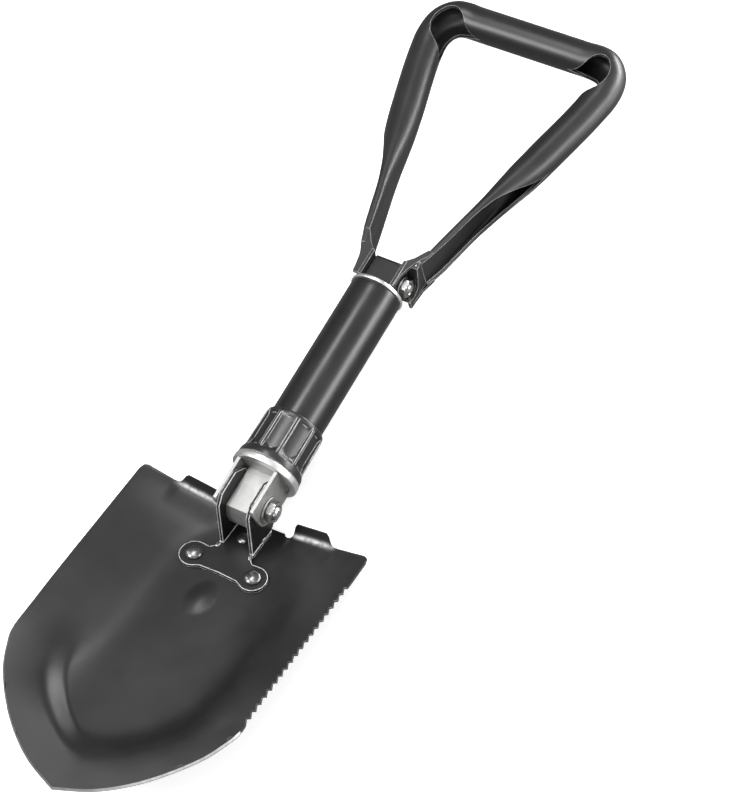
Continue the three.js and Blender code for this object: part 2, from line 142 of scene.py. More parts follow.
def temp(verts, faces, name="tmp"):
    me = bpy.data.meshes.new(name)
    me.from_pydata([tuple(map(float, v)) for v in verts], [], [tuple(int(i) for i in f) for f in faces])
    me.update()
    ob = bpy.data.objects.new(name, me)
    scene.collection.objects.link(ob)
    return ob


def boolean(parts, cuts=()):
    """Union of (verts, faces) solids, less the cuts, in millimetres."""
    base = temp(*parts[0])
    others = []
    for group, op in ((parts[1:], "UNION"), (cuts, "DIFFERENCE")):
        for p in group:
            o = temp(*p)
            others.append(o)
            m = base.modifiers.new("b", "BOOLEAN")
            m.operation, m.solver, m.object = op, "EXACT", o
    out = arrays(evaluated(base))
    for o in [base] + others:
        bpy.data.objects.remove(o)
    return out


def bevelled(solid, width, segments=2, angle=32.0, weld=0.02):
    ob = temp(*solid)
    w = ob.modifiers.new("w", "WELD")
    w.merge_threshold = weld
    b = ob.modifiers.new("b", "BEVEL")
    b.width, b.segments, b.limit_method, b.angle_limit = width, segments, "ANGLE", math.radians(angle)
    b.use_clamp_overlap, b.miter_outer = True, "MITER_SHARP"
    out = arrays(evaluated(ob))
    bpy.data.objects.remove(ob)
    return out


def fillet(pts, r, n=4):
    """Closed outline with its corners rounded; r is one radius or one per corner."""
    out, k = [], len(pts)
    for i in range(k):
        a, b, c = (np.array(pts[(i + d) % k], float) for d in (-1, 0, 1))
        rad = r[i] if isinstance(r, (list, tuple)) else r
        u, v = a - b, c - b
        lu, lv = np.linalg.norm(u), np.linalg.norm(v)
        if rad <= 0 or lu < 1e-6 or lv < 1e-6:
            out.append(b)
            continue
        u, v = u / lu, v / lv
        half = math.acos(max(-1, min(1, float(u @ v)))) / 2
        if half > math.radians(87):
            out.append(b)
            continue
        cut = min(rad / math.tan(half), lu * 0.48, lv * 0.48)
        p0, p1 = b + u * cut, b + v * cut
        for s in np.linspace(0, 1, n + 1):
            out.append((1 - s) ** 2 * p0 + 2 * s * (1 - s) * b + s * s * p1)
    return [tuple(p) for p in out]


def prism(pts, t0, t1, place):
    """Prism of a closed outline (a, b) between t0 and t1; place maps (a, b, t) to x, y, z."""
    n = len(pts)
    verts = [place(a, b, t0) for a, b in pts] + [place(a, b, t1) for a, b in pts]
    faces = [tuple(range(n))[::-1], tuple(range(n, 2 * n))]
    faces += [(i, (i + 1) % n, n + (i + 1) % n, n + i) for i in range(n)]
    return outward(verts, faces)


def outward(verts, faces):
    v = np.array(verts, float)
    vol = 0.0
    for f in faces:
        for i in range(1, len(f) - 1):
            vol += float(np.dot(v[f[0]], np.cross(v[f[i]], v[f[i + 1]])))
    return (v, faces) if vol > 0 else (v, [tuple(f)[::-1] for f in faces])


def along_x(a, b, t):      # outline given in (y, z)
    return (t, a, b)


def along_z(a, b, t):      # outline given in (x, y)
    return (a, b, t)


def lathe(profile, seg, axis="y", centre=(0, 0, 0), closed=False, turn=0.0):
    """Turned body. profile is (radius, place along the axis); poles where the radius is 0."""
    verts, faces, rows = [], [], []
    for r, t in profile:
        if r < 1e-6:
            rows.append([len(verts)])
            ring = [(0.0, 0.0)]
        else:
            rows.append(list(range(len(verts), len(verts) + seg)))
            ring = [(r * math.cos(turn + 2 * math.pi * k / seg), r * math.sin(turn + 2 * math.pi * k / seg)) for k in range(seg)]
        for a, b in ring:
            p = {"y": (a, t, b), "x": (t, a, b), "z": (a, b, t)}[axis]
            verts.append(tuple(p[i] + centre[i] for i in range(3)))
    pairs = list(zip(rows, rows[1:])) + ([(rows[-1], rows[0])] if closed else [])
    for a, b in pairs:
        for k in range(seg):
            k2 = (k + 1) % seg
            if len(a) == 1 and len(b) == 1:
                continue
            if len(a) == 1:
                faces.append((a[0], b[k2], b[k]))
            elif len(b) == 1:
                faces.append((a[k], a[k2], b[0]))
            else:
                faces.append((a[k], a[k2], b[k2], b[k]))
    return outward(verts, faces)


def rounded(profile, r, n=4, closed=True):
    """Profile corners rounded; an open profile keeps its two ends."""
    if closed:
        return fillet(profile, r, n)
    rr = r if isinstance(r, (list, tuple)) else [0] + [r] * (len(profile) - 2) + [0]
    return fillet(profile, list(rr), n)


def join(*solids):
    verts, faces, base = [], [], 0
    for v, f in solids:
        verts.append(np.asarray(v, float))
        faces += [tuple(i + base for i in q) for q in f]
        base += len(v)
    return np.vstack(verts), faces


def mirrored(solid):
    v, f = solid
    v = np.array(v, float) * np.array([-1, 1, 1])
    return v, [tuple(q)[::-1] for q in f]


# ---------------------------------------------------------------- materials
class Nodes:
    def __init__(self, name):
        self.mat = bpy.data.materials.new(name)
        self.mat.use_nodes = True
        self.t = self.mat.node_tree
        self.t.nodes.clear()
        self.out = self.t.nodes.new("ShaderNodeOutputMaterial")
        self.bsdf = self.t.nodes.new("ShaderNodeBsdfPrincipled")
        self.t.links.new(self.bsdf.outputs[0], self.out.inputs[0])
        self.coord = self.t.nodes.new("ShaderNodeTexCoord").outputs["Object"]

    def link(self, a, b):
        self.t.links.new(a, b)

    def value(self, socket, v):
        if hasattr(v, "is_linked"):
            self.t.links.new(v, socket)
        else:
            socket.default_value = v

    def noise(self, scale, detail=4.0, rough=0.55, stretch=None, seed=0.0):
        c = self.coord
        if stretch or seed:
            m = self.t.nodes.new("ShaderNodeMapping")
            m.inputs["Scale"].default_value = stretch or (1, 1, 1)
            m.inputs["Location"].default_value = (seed, seed * 0.7, seed * 1.3)
            self.link(c, m.inputs["Vector"])
            c = m.outputs[0]
        n = self.t.nodes.new("ShaderNodeTexNoise")
        n.inputs["Scale"].default_value = scale
        n.inputs["Detail"].default_value = detail
        n.inputs["Roughness"].default_value = rough
        self.link(c, n.inputs["Vector"])
        return n.outputs["Fac"]

    def voronoi(self, scale, feature="F1"):
        n = self.t.nodes.new("ShaderNodeTexVoronoi")
        n.feature = feature
        n.inputs["Scale"].default_value = scale
        self.link(self.coord, n.inputs["Vector"])
        return n.outputs["Distance"]

    def remap(self, v, a, b, c, d, kind="LINEAR"):
        n = self.t.nodes.new("ShaderNodeMapRange")
        n.interpolation_type = kind
        for s, x in zip(("From Min", "From Max", "To Min", "To Max"), (a, b, c, d)):
            n.inputs[s].default_value = x
        self.link(v, n.inputs["Value"])
        return n.outputs["Result"]

    def math(self, op, a, b=None):
        n = self.t.nodes.new("ShaderNodeMath")
        n.operation = op
        self.value(n.inputs[0], a)
        if b is not None:
            self.value(n.inputs[1], b)
        return n.outputs[0]

    def mix(self, fac, a, b):
        n = self.t.nodes.new("ShaderNodeMix")
        n.data_type = "RGBA"
        self.value(n.inputs[0], fac)
        self.value(n.inputs[6], a)
        self.value(n.inputs[7], b)
        return n.outputs[2]

    def attribute(self, name):
        n = self.t.nodes.new("ShaderNodeAttribute")
        n.attribute_name = name
        return n.outputs["Fac"]

    def edge_mask(self, radius):
        """1 along edges, 0 on faces: how far the bevelled normal leaves the true one."""
        bv = self.t.nodes.new("ShaderNodeBevel")
        bv.samples = 4
        bv.inputs["Radius"].default_value = radius
        geo = self.t.nodes.new("ShaderNodeNewGeometry")
        dot = self.t.nodes.new("ShaderNodeVectorMath")
        dot.operation = "DOT_PRODUCT"
        self.link(bv.outputs[0], dot.inputs[0])
        self.link(geo.outputs["Normal"], dot.inputs[1])
        return self.remap(dot.outputs["Value"], 0.985, 0.90, 0, 1, "SMOOTHSTEP")

    def bump(self, height, strength, distance, under=None):
        n = self.t.nodes.new("ShaderNodeBump")
        n.inputs["Strength"].default_value = strength
        n.inputs["Distance"].default_value = distance
        self.link(height, n.inputs["Height"])
        if under is not None:
            self.link(under, n.inputs["Normal"])
        return n.outputs[0]

    def set(self, **kw):
        for k, v in kw.items():
            self.value(self.bsdf.inputs[k.replace("_", " ")], v)


def grey(v, tint=(1.0, 1.0, 1.0)):
    return (v * tint[0], v * tint[1], v * tint[2], 1.0)


def paint(name, base, rough, grain=1.0, spec=0.5, edge_wear_and_highlight=0.35, seed=0.0, coat=0.0, edge_wear_highlight_tone=0.30, edge_r=0.0005, painted_fold_highlight=False):
    """Baked black enamel: slight orange peel, fine dust-like grain, roughness in patches, edges lightened partly as
    wear and partly as painted edge highlights, and a painted highlight along the folds when asked.
    """
    n = Nodes(name)
    patch = n.noise(38, 4, 0.55, seed=seed)
    fine = n.noise(1500, 3, 0.6, seed=seed + 1.0)
    peel = n.noise(260, 2, 0.5, seed=seed + 2.0)
    scuff = n.noise(90, 6, 0.7, stretch=(1.0, 0.18, 1.0), seed=seed + 3.0)
    col = n.mix(n.remap(patch, 0.35, 0.65, 0, 1, "SMOOTHSTEP"), grey(base * 0.90), grey(base * 1.10))
    # lightened edges: partly real paint wear, partly a painted highlight standing in for the bright lines along the
    # sheet edges
    edge = n.edge_mask(edge_r)
    worn_and_highlit_edge = n.math("MULTIPLY", edge, n.remap(n.noise(320, 4, 0.65, seed=seed + 4), 0.30, 0.60, edge_wear_and_highlight * 0.5, edge_wear_and_highlight, "SMOOTHSTEP"))
    tone = n.mix(worn_and_highlit_edge, col, grey(edge_wear_highlight_tone))
    if painted_fold_highlight:
        # painted highlight: the enamel is lightened along the fold creases of the step tabs, standing in for their
        # bright crease line
        fold_glint = n.math("MULTIPLY", n.attribute("fold"), n.remap(n.noise(260, 4, 0.6, seed=seed + 5), 0.30, 0.62, 0.35, 1.0, "SMOOTHSTEP"))
        tone = n.mix(fold_glint, tone, grey(0.62))
    n.set(Base_Color=tone)
    r = n.remap(patch, 0.3, 0.7, rough - 0.03, rough + 0.03)
    r = n.math("ADD", r, n.remap(fine, 0.3, 0.7, -0.03, 0.03))
    r = n.math("ADD", r, n.remap(scuff, 0.56, 0.74, 0.0, 0.05, "SMOOTHSTEP"))
    n.set(Roughness=r, Metallic=0.0, Coat_Weight=coat, Coat_Roughness=0.2)
    n.bsdf.inputs["Specular IOR Level"].default_value = spec
    b = n.bump(peel, 0.10 * grain, 0.00025)
    b = n.bump(fine, 0.14 * grain, 0.00006, b)
    n.set(Normal=b)
    return n.mat


def plated(name, base, rough, tint=(1.0, 1.0, 0.985), seed=0.0, dirt=0.25, brushed=(1, 1, 1)):
    """Zinc-plated steel: spangled mottling, fine turning marks, grime in scattered patches."""
    n = Nodes(name)
    cloud = n.noise(210, 5, 0.6, seed=seed)
    cell = n.voronoi(620)
    lines = n.noise(1900, 3, 0.6, stretch=brushed, seed=seed + 2)
    col = n.mix(n.remap(cloud, 0.3, 0.7, 0, 1), grey(base * 0.82, tint), grey(base * 1.08, tint))
    col = n.mix(n.remap(cell, 0.1, 0.7, 0, 0.25), col, grey(base * 0.9, tint))
    grime = n.remap(n.noise(130, 5, 0.7, seed=seed + 5), 0.56, 0.72, 0, dirt, "SMOOTHSTEP")
    n.set(Base_Color=n.mix(grime, col, grey(0.09)), Metallic=0.92)
    r = n.math("ADD", n.remap(cloud, 0.3, 0.7, rough - 0.05, rough + 0.07), n.remap(lines, 0.3, 0.7, -0.04, 0.04))
    n.set(Roughness=r)
    n.set(Normal=n.bump(lines, 0.12, 0.00005, n.bump(cloud, 0.10, 0.0002)))
    return n.mat


def moulded(name, base, rough, seed=0.0):
    """Injection-moulded nylon: fine spark-erosion grain and soft flow marks; its edges are painted light grey as a
    painted highlight.
    """
    n = Nodes(name)
    grain = n.noise(2600, 2, 0.55, seed=seed)
    cell = n.voronoi(1500)
    flow = n.noise(60, 3, 0.5, stretch=(1.0, 0.3, 1.0), seed=seed + 1)
    # painted highlight: the edges of the fins and rims are painted light grey
    edge = n.edge_mask(0.0006)
    col = n.mix(n.remap(flow, 0.35, 0.65, 0, 1), grey(base * 0.85), grey(base * 1.15))
    n.set(Base_Color=n.mix(n.math("MULTIPLY", edge, 0.95), col, grey(0.75)), Metallic=0.0)
    n.set(Roughness=n.math("ADD", n.remap(flow, 0.3, 0.7, rough - 0.04, rough + 0.04), n.remap(grain, 0.3, 0.7, -0.04, 0.04)))
    n.bsdf.inputs["Specular IOR Level"].default_value = 0.5
    n.set(Normal=n.bump(cell, 0.10, 0.00008, n.bump(grain, 0.16, 0.00005)))
    return n.mat


def ground(name):
    """Bare ground steel along the sharpened edge, with grinding marks across it."""
    n = Nodes(name)
    marks = n.noise(2400, 4, 0.65, stretch=(1.0, 0.25, 1.0))
    cloud = n.noise(240, 4, 0.6)
    n.set(Base_Color=n.mix(n.remap(cloud, 0.3, 0.7, 0, 1), grey(0.42), grey(0.62)), Metallic=1.0)
    n.set(Roughness=n.remap(marks, 0.3, 0.7, 0.26, 0.44))
    n.set(Normal=n.bump(marks, 0.2, 0.00005))
    return n.mat


M_BLADE = paint("enamel_blade", 0.008, 0.38, seed=0.3, edge_wear_and_highlight=0.3, edge_wear_highlight_tone=0.2, spec=0.42, painted_fold_highlight=True)
M_BRACKET = paint("enamel_bracket", 0.006, 0.34, seed=2.1, edge_wear_and_highlight=1.0, edge_wear_highlight_tone=0.85, edge_r=0.0009, spec=0.42)
M_TUBE = paint("enamel_tube", 0.006, 0.31, seed=4.7, grain=0.8)
M_HANDLE = paint("enamel_handle", 0.011, 0.37, seed=6.2, grain=0.9, edge_wear_and_highlight=0.8, edge_wear_highlight_tone=0.45, edge_r=0.0006, spec=0.42)
M_TONGUE = paint("enamel_tongue", 0.005, 0.42, seed=8.8, edge_wear_and_highlight=0.6, spec=0.35)
M_COLLAR = moulded("moulded_nylon", 0.010, 0.32)
M_YOKE = plated("zinc_yoke", 0.38, 0.50, seed=1.2, brushed=(1, 0.15, 1))
M_RING = plated("zinc_ring", 0.60, 0.40, seed=3.4, brushed=(0.2, 1, 0.2))
M_TOPRING = plated("zinc_top_ring", 0.80, 0.30, seed=5.1, brushed=(0.2, 1, 0.2), dirt=0.1)
M_BOLT = plated("bright_zinc_bolt", 0.50, 0.28, seed=6.6)
M_NUT = plated("bright_zinc_nut", 0.34, 0.26, seed=7.9)
M_WASHER = plated("bright_zinc_washer", 0.45, 0.32, seed=9.3)
M_RIVET = plated("blackened_rivet", 0.16, 0.24, seed=10.7, dirt=0.5)
M_GROUND = ground("ground_edge")

# -------------------------------------------------------------------- blade
FLOOR_Z0, FLOOR_SLOPE, SHEET, RIM_DROP, RIM_MAX = -26.9, -0.226, 1.9, 15.6, 22.4
SIDE = [(77.2, -3), (77.0, -41), (76.8, -86), (76.4, -114), (76.1, -130), (73.4, -139.5),
        (65.7, -154.6), (51.0, -172.4), (35.9, -185.9), (19.9, -196.0), (0, -203.9)]


def floor_z(y):
    return FLOOR_Z0 + FLOOR_SLOPE * y


def rim_z(y):
    lin, k = floor_z(y) + RIM_DROP + 0.5, 4.0
    return -k * np.log(np.exp(-lin / k) + np.exp(-(RIM_MAX + 0.4) / k))


def side_curve():
    """Smooth version of the side and tip outline."""
    pts = np.array(SIDE, float)
    out = [pts[0]]
    for i in range(len(pts) - 1):
        p0, p1, p2, p3 = (pts[max(0, min(len(pts) - 1, i + d))] for d in (-1, 0, 1, 2))
        if i == len(pts) - 2:
            p3 = p2 + (p2 - p1)
        n = max(2, int(np.linalg.norm(p2 - p1) / 2.0))
        for s in np.arange(1, n + 1) / n:
            q = 0.5 * ((2 * p1) + (p2 - p0) * s + (2 * p0 - 5 * p1 + 4 * p2 - p3) * s ** 2 + (-p0 + 3 * p1 - 3 * p2 + p3) * s ** 3)
            out.append(q)
    return np.array(out)


CURVE = side_curve()
CHAIN = np.vstack([[77.2, 60.0], CURVE])
LOWER = CURVE[CURVE[:, 1] < -131]


def rim_distance(x, y):
    ax = np.abs(x)
    d = np.full(ax.shape, 1e9)
    for a, b in zip(CHAIN, CHAIN[1:]):
        u = b - a
        t = np.clip(((ax - a[0]) * u[0] + (y - a[1]) * u[1]) / (u @ u), 0, 1)
        d = np.minimum(d, np.hypot(ax - a[0] - t * u[0], y - a[1] - t * u[1]))
    w = np.where(y > CURVE[0, 1], 77.2, np.interp(-y, -CURVE[:, 1], CURVE[:, 0]))
    d = np.where(ax <= w, d, -d)
    # the dish turns its corners in wide curves: ease the crease where side and tip walls meet
    side, k = 77.0 - ax, 5.0
    near = []
    for px in (ax, -ax):
        low = np.full(ax.shape, 1e9)
        for a, b in zip(LOWER, LOWER[1:]):
            u = b - a
            t = np.clip(((px - a[0]) * u[0] + (y - a[1]) * u[1]) / (u @ u), 0, 1)
            low = np.minimum(low, np.hypot(px - a[0] - t * u[0], y - a[1] - t * u[1]))
        near.append(low)
    low = -3.0 * np.log(np.exp(-near[0] / 3.0) + np.exp(-near[1] / 3.0))
    eased = -k * np.log(np.exp(-np.clip(side, 0, 200) / k) + np.exp(-low / k)) + 1.2
    return lerp(d, eased, smooth(8, 16, d) * smooth(-90, -110, y))


def front_z(x, y):
    x, y = np.asarray(x, float), np.asarray(y, float)
    yy, ax = np.minimum(y, 0.8), np.abs(x)
    d = rim_distance(x, yy)
    s0 = lerp(14.5, 30.0, smooth(7, -42, yy))
    soft = 0.93 * np.clip(np.logaddexp(0, (ax - s0 - 1.5) / 3.5) * 3.5 / (75.5 - s0), 0, 1) ** lerp(0.85, 1.1, smooth(-2, -26, yy))
    # steep at the foot of the wall, easing into the rim; the crease is tightest at the lower left
    tight = smooth(6, -14, x) * smooth(-112, -136, yy)
    k, k2 = lerp(2.4, 0.6, tight), lerp(3.0, 1.6, tight)
    wall = np.logaddexp(0, (32.6 - d) / k) * k - np.logaddexp(0, (23.4 - d) / k2) * k2
    crisp = 0.84 * wall / 9.2 + 0.16 * np.logaddexp(0, (22 - d) / 5) * 5 / 22
    z = floor_z(yy) + (rim_z(yy) - floor_z(yy)) * lerp(soft, crisp, lerp(smooth(-22, -122, yy), smooth(-100, -172, yy), smooth(20, -30, x)))
    mound = np.clip((ax / 9.5) ** 2 + ((yy + 60.0) / 13.5) ** 2, 0, 1)
    z = z + 1.5 * (1 - mound) ** 2
    k = 1.35                                     # fold radius of the step tabs
    over = np.logaddexp(0, (y - 0.5) / k) * k
    tab = smooth(21, 25, ax) * smooth(57, 50, ax)
    # the press leaves a shallow trough in front of each fold
    trough = 0.9 * smooth(-17, -3.2, y) * smooth(1.2, -2.6, y)
    return z + (np.where(y > -14, over, 0) * 1.5 - trough) * tab


def blade_outline():
    half = [(0, 0.2), (18.6, 0.2), (19.6, -1.2), (21.6, -2.0), (23.6, -1.2), (24.8, 0.4), (25.0, 4.0), (26.4, 5.3),
            (47.0, 5.3), (48.8, 4.4), (51.2, 1.6), (52.8, 0.8), (73.6, 2.0), (76.2, 1.0)]
    half_r = [0, 0.5, 1.2, 1.2, 1.2, 1.0, 1.2, 0.8, 1.0, 1.2, 1.5, 1.5, 1.5, 1.5]
    pts, rad = list(half), list(half_r)
    pts += [(77.2, -3), (77.1, -22)]
    rad += [1.5, 0.2]
    n, y0, y1, depth = 20, -22.0, -126.0, 2.1
    pitch = (y0 - y1) / n
    for i in range(n):
        y = y0 - i * pitch
        w = lerp(77.1, 76.2, (y0 - y) / (y0 - y1))
        pts += [(w - depth, y - 0.5), (w - 0.1, y - pitch + 0.6)]
        rad += [0.25, 0.2]
    low = [tuple(p) for p in CURVE if p[1] < -128]
    pts += low
    rad += [0] * len(low)
    left = [(-p[0], p[1]) for p in CURVE[:-1][::-1]]
    pts += left
    rad += [0] * len(left)
    pts += [(-p[0], p[1]) for p in half[:0:-1]]
    rad += half_r[:0:-1]
    r = fillet(pts, rad, 3)
    out = []
    for i in range(len(r)):
        a, b = np.array(r[i]), np.array(r[(i + 1) % len(r)])
        l = np.linalg.norm(b - a)
        if l < 0.08:
            continue
        for s in np.arange(max(1, int(math.ceil(l / 1.3)))) / max(1, int(math.ceil(l / 1.3))):
            out.append(a + (b - a) * s)
    return np.array(out)


def inset(poly, dist):
    """poly (counter-clockwise or not) moved inwards by dist, one value per point."""
    prev, nxt = np.roll(poly, 1, 0), np.roll(poly, -1, 0)
    a = poly - prev
    b = nxt - poly
    a /= np.linalg.norm(a, axis=1)[:, None]
    b /= np.linalg.norm(b, axis=1)[:, None]
    area = 0.5 * np.sum(poly[:, 0] * nxt[:, 1] - nxt[:, 0] * poly[:, 1])
    s = 1.0 if area > 0 else -1.0
    na, nb = np.stack([-a[:, 1], a[:, 0]], 1) * s, np.stack([-b[:, 1], b[:, 0]], 1) * s
    m = na + nb
    m /= np.linalg.norm(m, axis=1)[:, None]
    c = np.clip(np.sum(m * na, axis=1), 0.45, 1)
    return poly + m * (dist / c)[:, None]


TILT = math.atan(-FLOOR_SLOPE)
CT, ST = math.cos(TILT), math.sin(TILT)


def on_floor(x, v, n):
    """Point in the dish floor's own frame: x across, v up the floor, n out of its front."""
    return (x, v * CT + n * ST, FLOOR_Z0 - v * ST + n * CT)


RIVET = {"bracket_rivet_l": (-20.0, -37.6, 3.1), "bracket_rivet_r": (20.0, -37.6, 3.1), "bracket_rivet_c": (0.0, -15.6, 2.4)}


def make_blade():
    edge = blade_outline()
    x, y = edge[:, 0], edge[:, 1]
    # ground bevel: left side below the shoulder, tip and the right side up to the saw teeth
    bevel = np.where(x < 5, smooth(-118, -150, y), smooth(-128, -132, y)) * smooth(-100, -112, y)
    width = 0.42 + 0.6 * bevel
    ring = inset(edge, width)
    n = len(edge)
    holes = []
    for name, (hx, hv, hr) in RIVET.items():
        c = on_floor(hx, hv, 0)
        k = 20
        holes.append(np.array([(c[0] + (hr + 0.25) * math.cos(2 * math.pi * i / k), c[1] + (hr + 0.25) * math.sin(2 * math.pi * i / k)) for i in range(k)]))
    step = 1.55
    gx, gy = np.meshgrid(np.arange(-77.5, 77.6, step), np.arange(-204, 6, step * 0.87))
    gx = gx + (np.arange(gx.shape[0]) % 2)[:, None] * step / 2
    g = np.stack([gx.ravel(), gy.ravel()], 1)
    fx, fy = np.meshgrid(np.arange(20.0, 57.6, 1.2), np.arange(-3.4, 4.7, 0.55))
    fx = fx + (np.arange(fx.shape[0]) % 2)[:, None] * 0.6
    fine = np.stack([fx.ravel(), fy.ravel()], 1)
    near = (np.abs(g[:, 0]) > 19.4) & (np.abs(g[:, 0]) < 58.2) & (g[:, 1] > -3.9)
    g = np.vstack([g[~near], fine, fine * [-1, 1]])
    # keep the grid points that are well inside
    seg_a, seg_b = ring, np.roll(ring, -1, 0)
    keep = np.ones(len(g), bool)
    inside = np.zeros(len(g), bool)
    for a, b in zip(seg_a, seg_b):
        cond = (a[1] > g[:, 1]) != (b[1] > g[:, 1])
        with np.errstate(divide="ignore", invalid="ignore"):
            xi = (b[0] - a[0]) * (g[:, 1] - a[1]) / (b[1] - a[1] + 1e-12) + a[0]
        inside ^= cond & (g[:, 0] < xi)
        u = b - a
        t = np.clip(((g - a) @ u) / (u @ u), 0, 1)
        keep &= np.linalg.norm(g - a - t[:, None] * u, axis=1) > step * 0.42
    for h in holes:
        c = h.mean(0)
        keep &= np.linalg.norm(g - c, axis=1) > np.linalg.norm(h[0] - c) + step * 0.4
    g = g[keep & inside]
    co = np.vstack([ring] + holes + [g])
    edges, base = [(i, (i + 1) % n) for i in range(n)], n
    for h in holes:
        edges += [(base + i, base + (i + 1) % len(h)) for i in range(len(h))]
        base += len(h)
    v2, _, tris, orig, _, _ = delaunay_2d_cdt([Vector(map(float, p)) for p in co], edges, [], 0, 1e-6)
    v2 = np.array([(p[0], p[1]) for p in v2])
    # from input index to output index
    to_out = {}
    for i, o in enumerate(orig):
        for q in o:
            to_out[q] = i
    cen = np.array([v2[list(t)].mean(0) for t in tris])
    ok = np.zeros(len(tris), bool)
    for a, b in zip(seg_a, seg_b):
        cond = (a[1] > cen[:, 1]) != (b[1] > cen[:, 1])
        xi = (b[0] - a[0]) * (cen[:, 1] - a[1]) / (b[1] - a[1] + 1e-12) + a[0]
        ok ^= cond & (cen[:, 0] < xi)
    for h in holes:
        c = h.mean(0)
        ok &= np.linalg.norm(cen - c, axis=1) > np.linalg.norm(h[0] - c) * 0.97
    tris = [t for t, k in zip(tris, ok) if k]
    m = len(v2)
    zf = front_z(v2[:, 0], v2[:, 1])
    front = np.column_stack([v2, zf])
    back = np.column_stack([v2, zf - SHEET])
    ze = front_z(x, y)
    drop = 0.30 + 0.75 * bevel
    top = np.column_stack([edge, ze - drop])
    bot = np.column_stack([edge, ze - SHEET + 0.30 - 0.05 * bevel])
    verts = np.vstack([front, back, top, bot])
    F, B, T, L = 0, m, 2 * m, 2 * m + n
    faces, kind = [], []
    area = 0.5 * np.sum(ring[:, 0] * np.roll(ring[:, 1], -1) - np.roll(ring[:, 0], -1) * ring[:, 1])
    ccw = area > 0
    for t in tris:
        a, b, c = t
        s = np.cross(v2[b] - v2[a], v2[c] - v2[a])
        if s < 0:
            a, c = c, a
        faces.append((a, b, c)); kind.append(0)
        faces.append((B + c, B + b, B + a)); kind.append(1)
    for i in range(n):
        j = (i + 1) % n
        ri, rj = to_out[i], to_out[j]
        q = [(ri, T + i, T + j, rj), (T + i, L + i, L + j, T + j), (L + i, B + ri, B + rj, L + j)]
        if not ccw:
            q = [tuple(reversed(k)) for k in q]
        faces += q
        ground_here = bevel[i] > 0.25 and bevel[j] > 0.25
        kind += [5 if ground_here else 2, 3, 4]
    base = n
    for h in holes:
        k = len(h)
        for i in range(k):
            a, b = to_out[base + i], to_out[base + (i + 1) % k]
            faces.append((a, b, B + b, B + a)); kind.append(6)
        base += k
    kind = np.array(kind)
    ob = add_object("blade_skin", verts, faces, [M_BLADE, M_GROUND], "blade", None, (kind == 5).astype(int))
    me = ob.data
    # normals: exact on the two sheet faces, averaged within each band elsewhere
    h = 0.35
    def surf_normal(px, py):
        dx = (front_z(px + h, py) - front_z(px - h, py)) / (2 * h)
        dy = (front_z(px, py + h) - front_z(px, py - h)) / (2 * h)
        nn = np.column_stack([-dx, -dy, np.ones(len(px))])
        return nn / np.linalg.norm(nn, axis=1)[:, None]
    nf = surf_normal(v2[:, 0], v2[:, 1])
    fn = np.array([p.normal for p in me.polygons])
    fa = np.array([p.area for p in me.polygons])
    group = np.array([{0: 0, 1: 1, 2: 2, 5: 2, 3: 3, 4: 4, 6: 5}[k] for k in kind])
    loops_v = np.zeros(len(me.loops), np.int32)
    me.loops.foreach_get("vertex_index", loops_v)
    loop_face = np.repeat(np.arange(len(me.polygons)), [p.loop_total for p in me.polygons])
    total = len(verts)
    acc = np.zeros((6, total, 3))
    for gk in range(2, 6):
        sel = group[loop_face] == gk
        np.add.at(acc[gk], loops_v[sel], fn[loop_face[sel]] * fa[loop_face[sel]][:, None])
    ln = np.zeros((len(loops_v), 3))
    gl = group[loop_face]
    for gk in range(2, 6):
        sel = gl == gk
        q = acc[gk][loops_v[sel]]
        ln[sel] = q / np.maximum(np.linalg.norm(q, axis=1), 1e-12)[:, None]
    sel = gl == 0
    ln[sel] = nf[loops_v[sel]]
    sel = gl == 1
    ln[sel] = -nf[loops_v[sel] - m]
    me.normals_split_custom_set([tuple(q) for q in ln])
    # painted highlight along the inside of the two folds: the fold attribute lightens the enamel there to stand in for
    # the crease's bright line
    fold = np.zeros(total)
    vx, vy = np.abs(v2[:, 0]), v2[:, 1]
    fold[:m] = np.exp(-((vy - 0.1) / 0.9) ** 2) * smooth(22, 29, vx) * smooth(55, 46, vx)
    at = me.attributes.new("fold", "FLOAT", "POINT")
    at.data.foreach_set("value", fold.astype(np.float32))
    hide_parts("blade")
    return ob


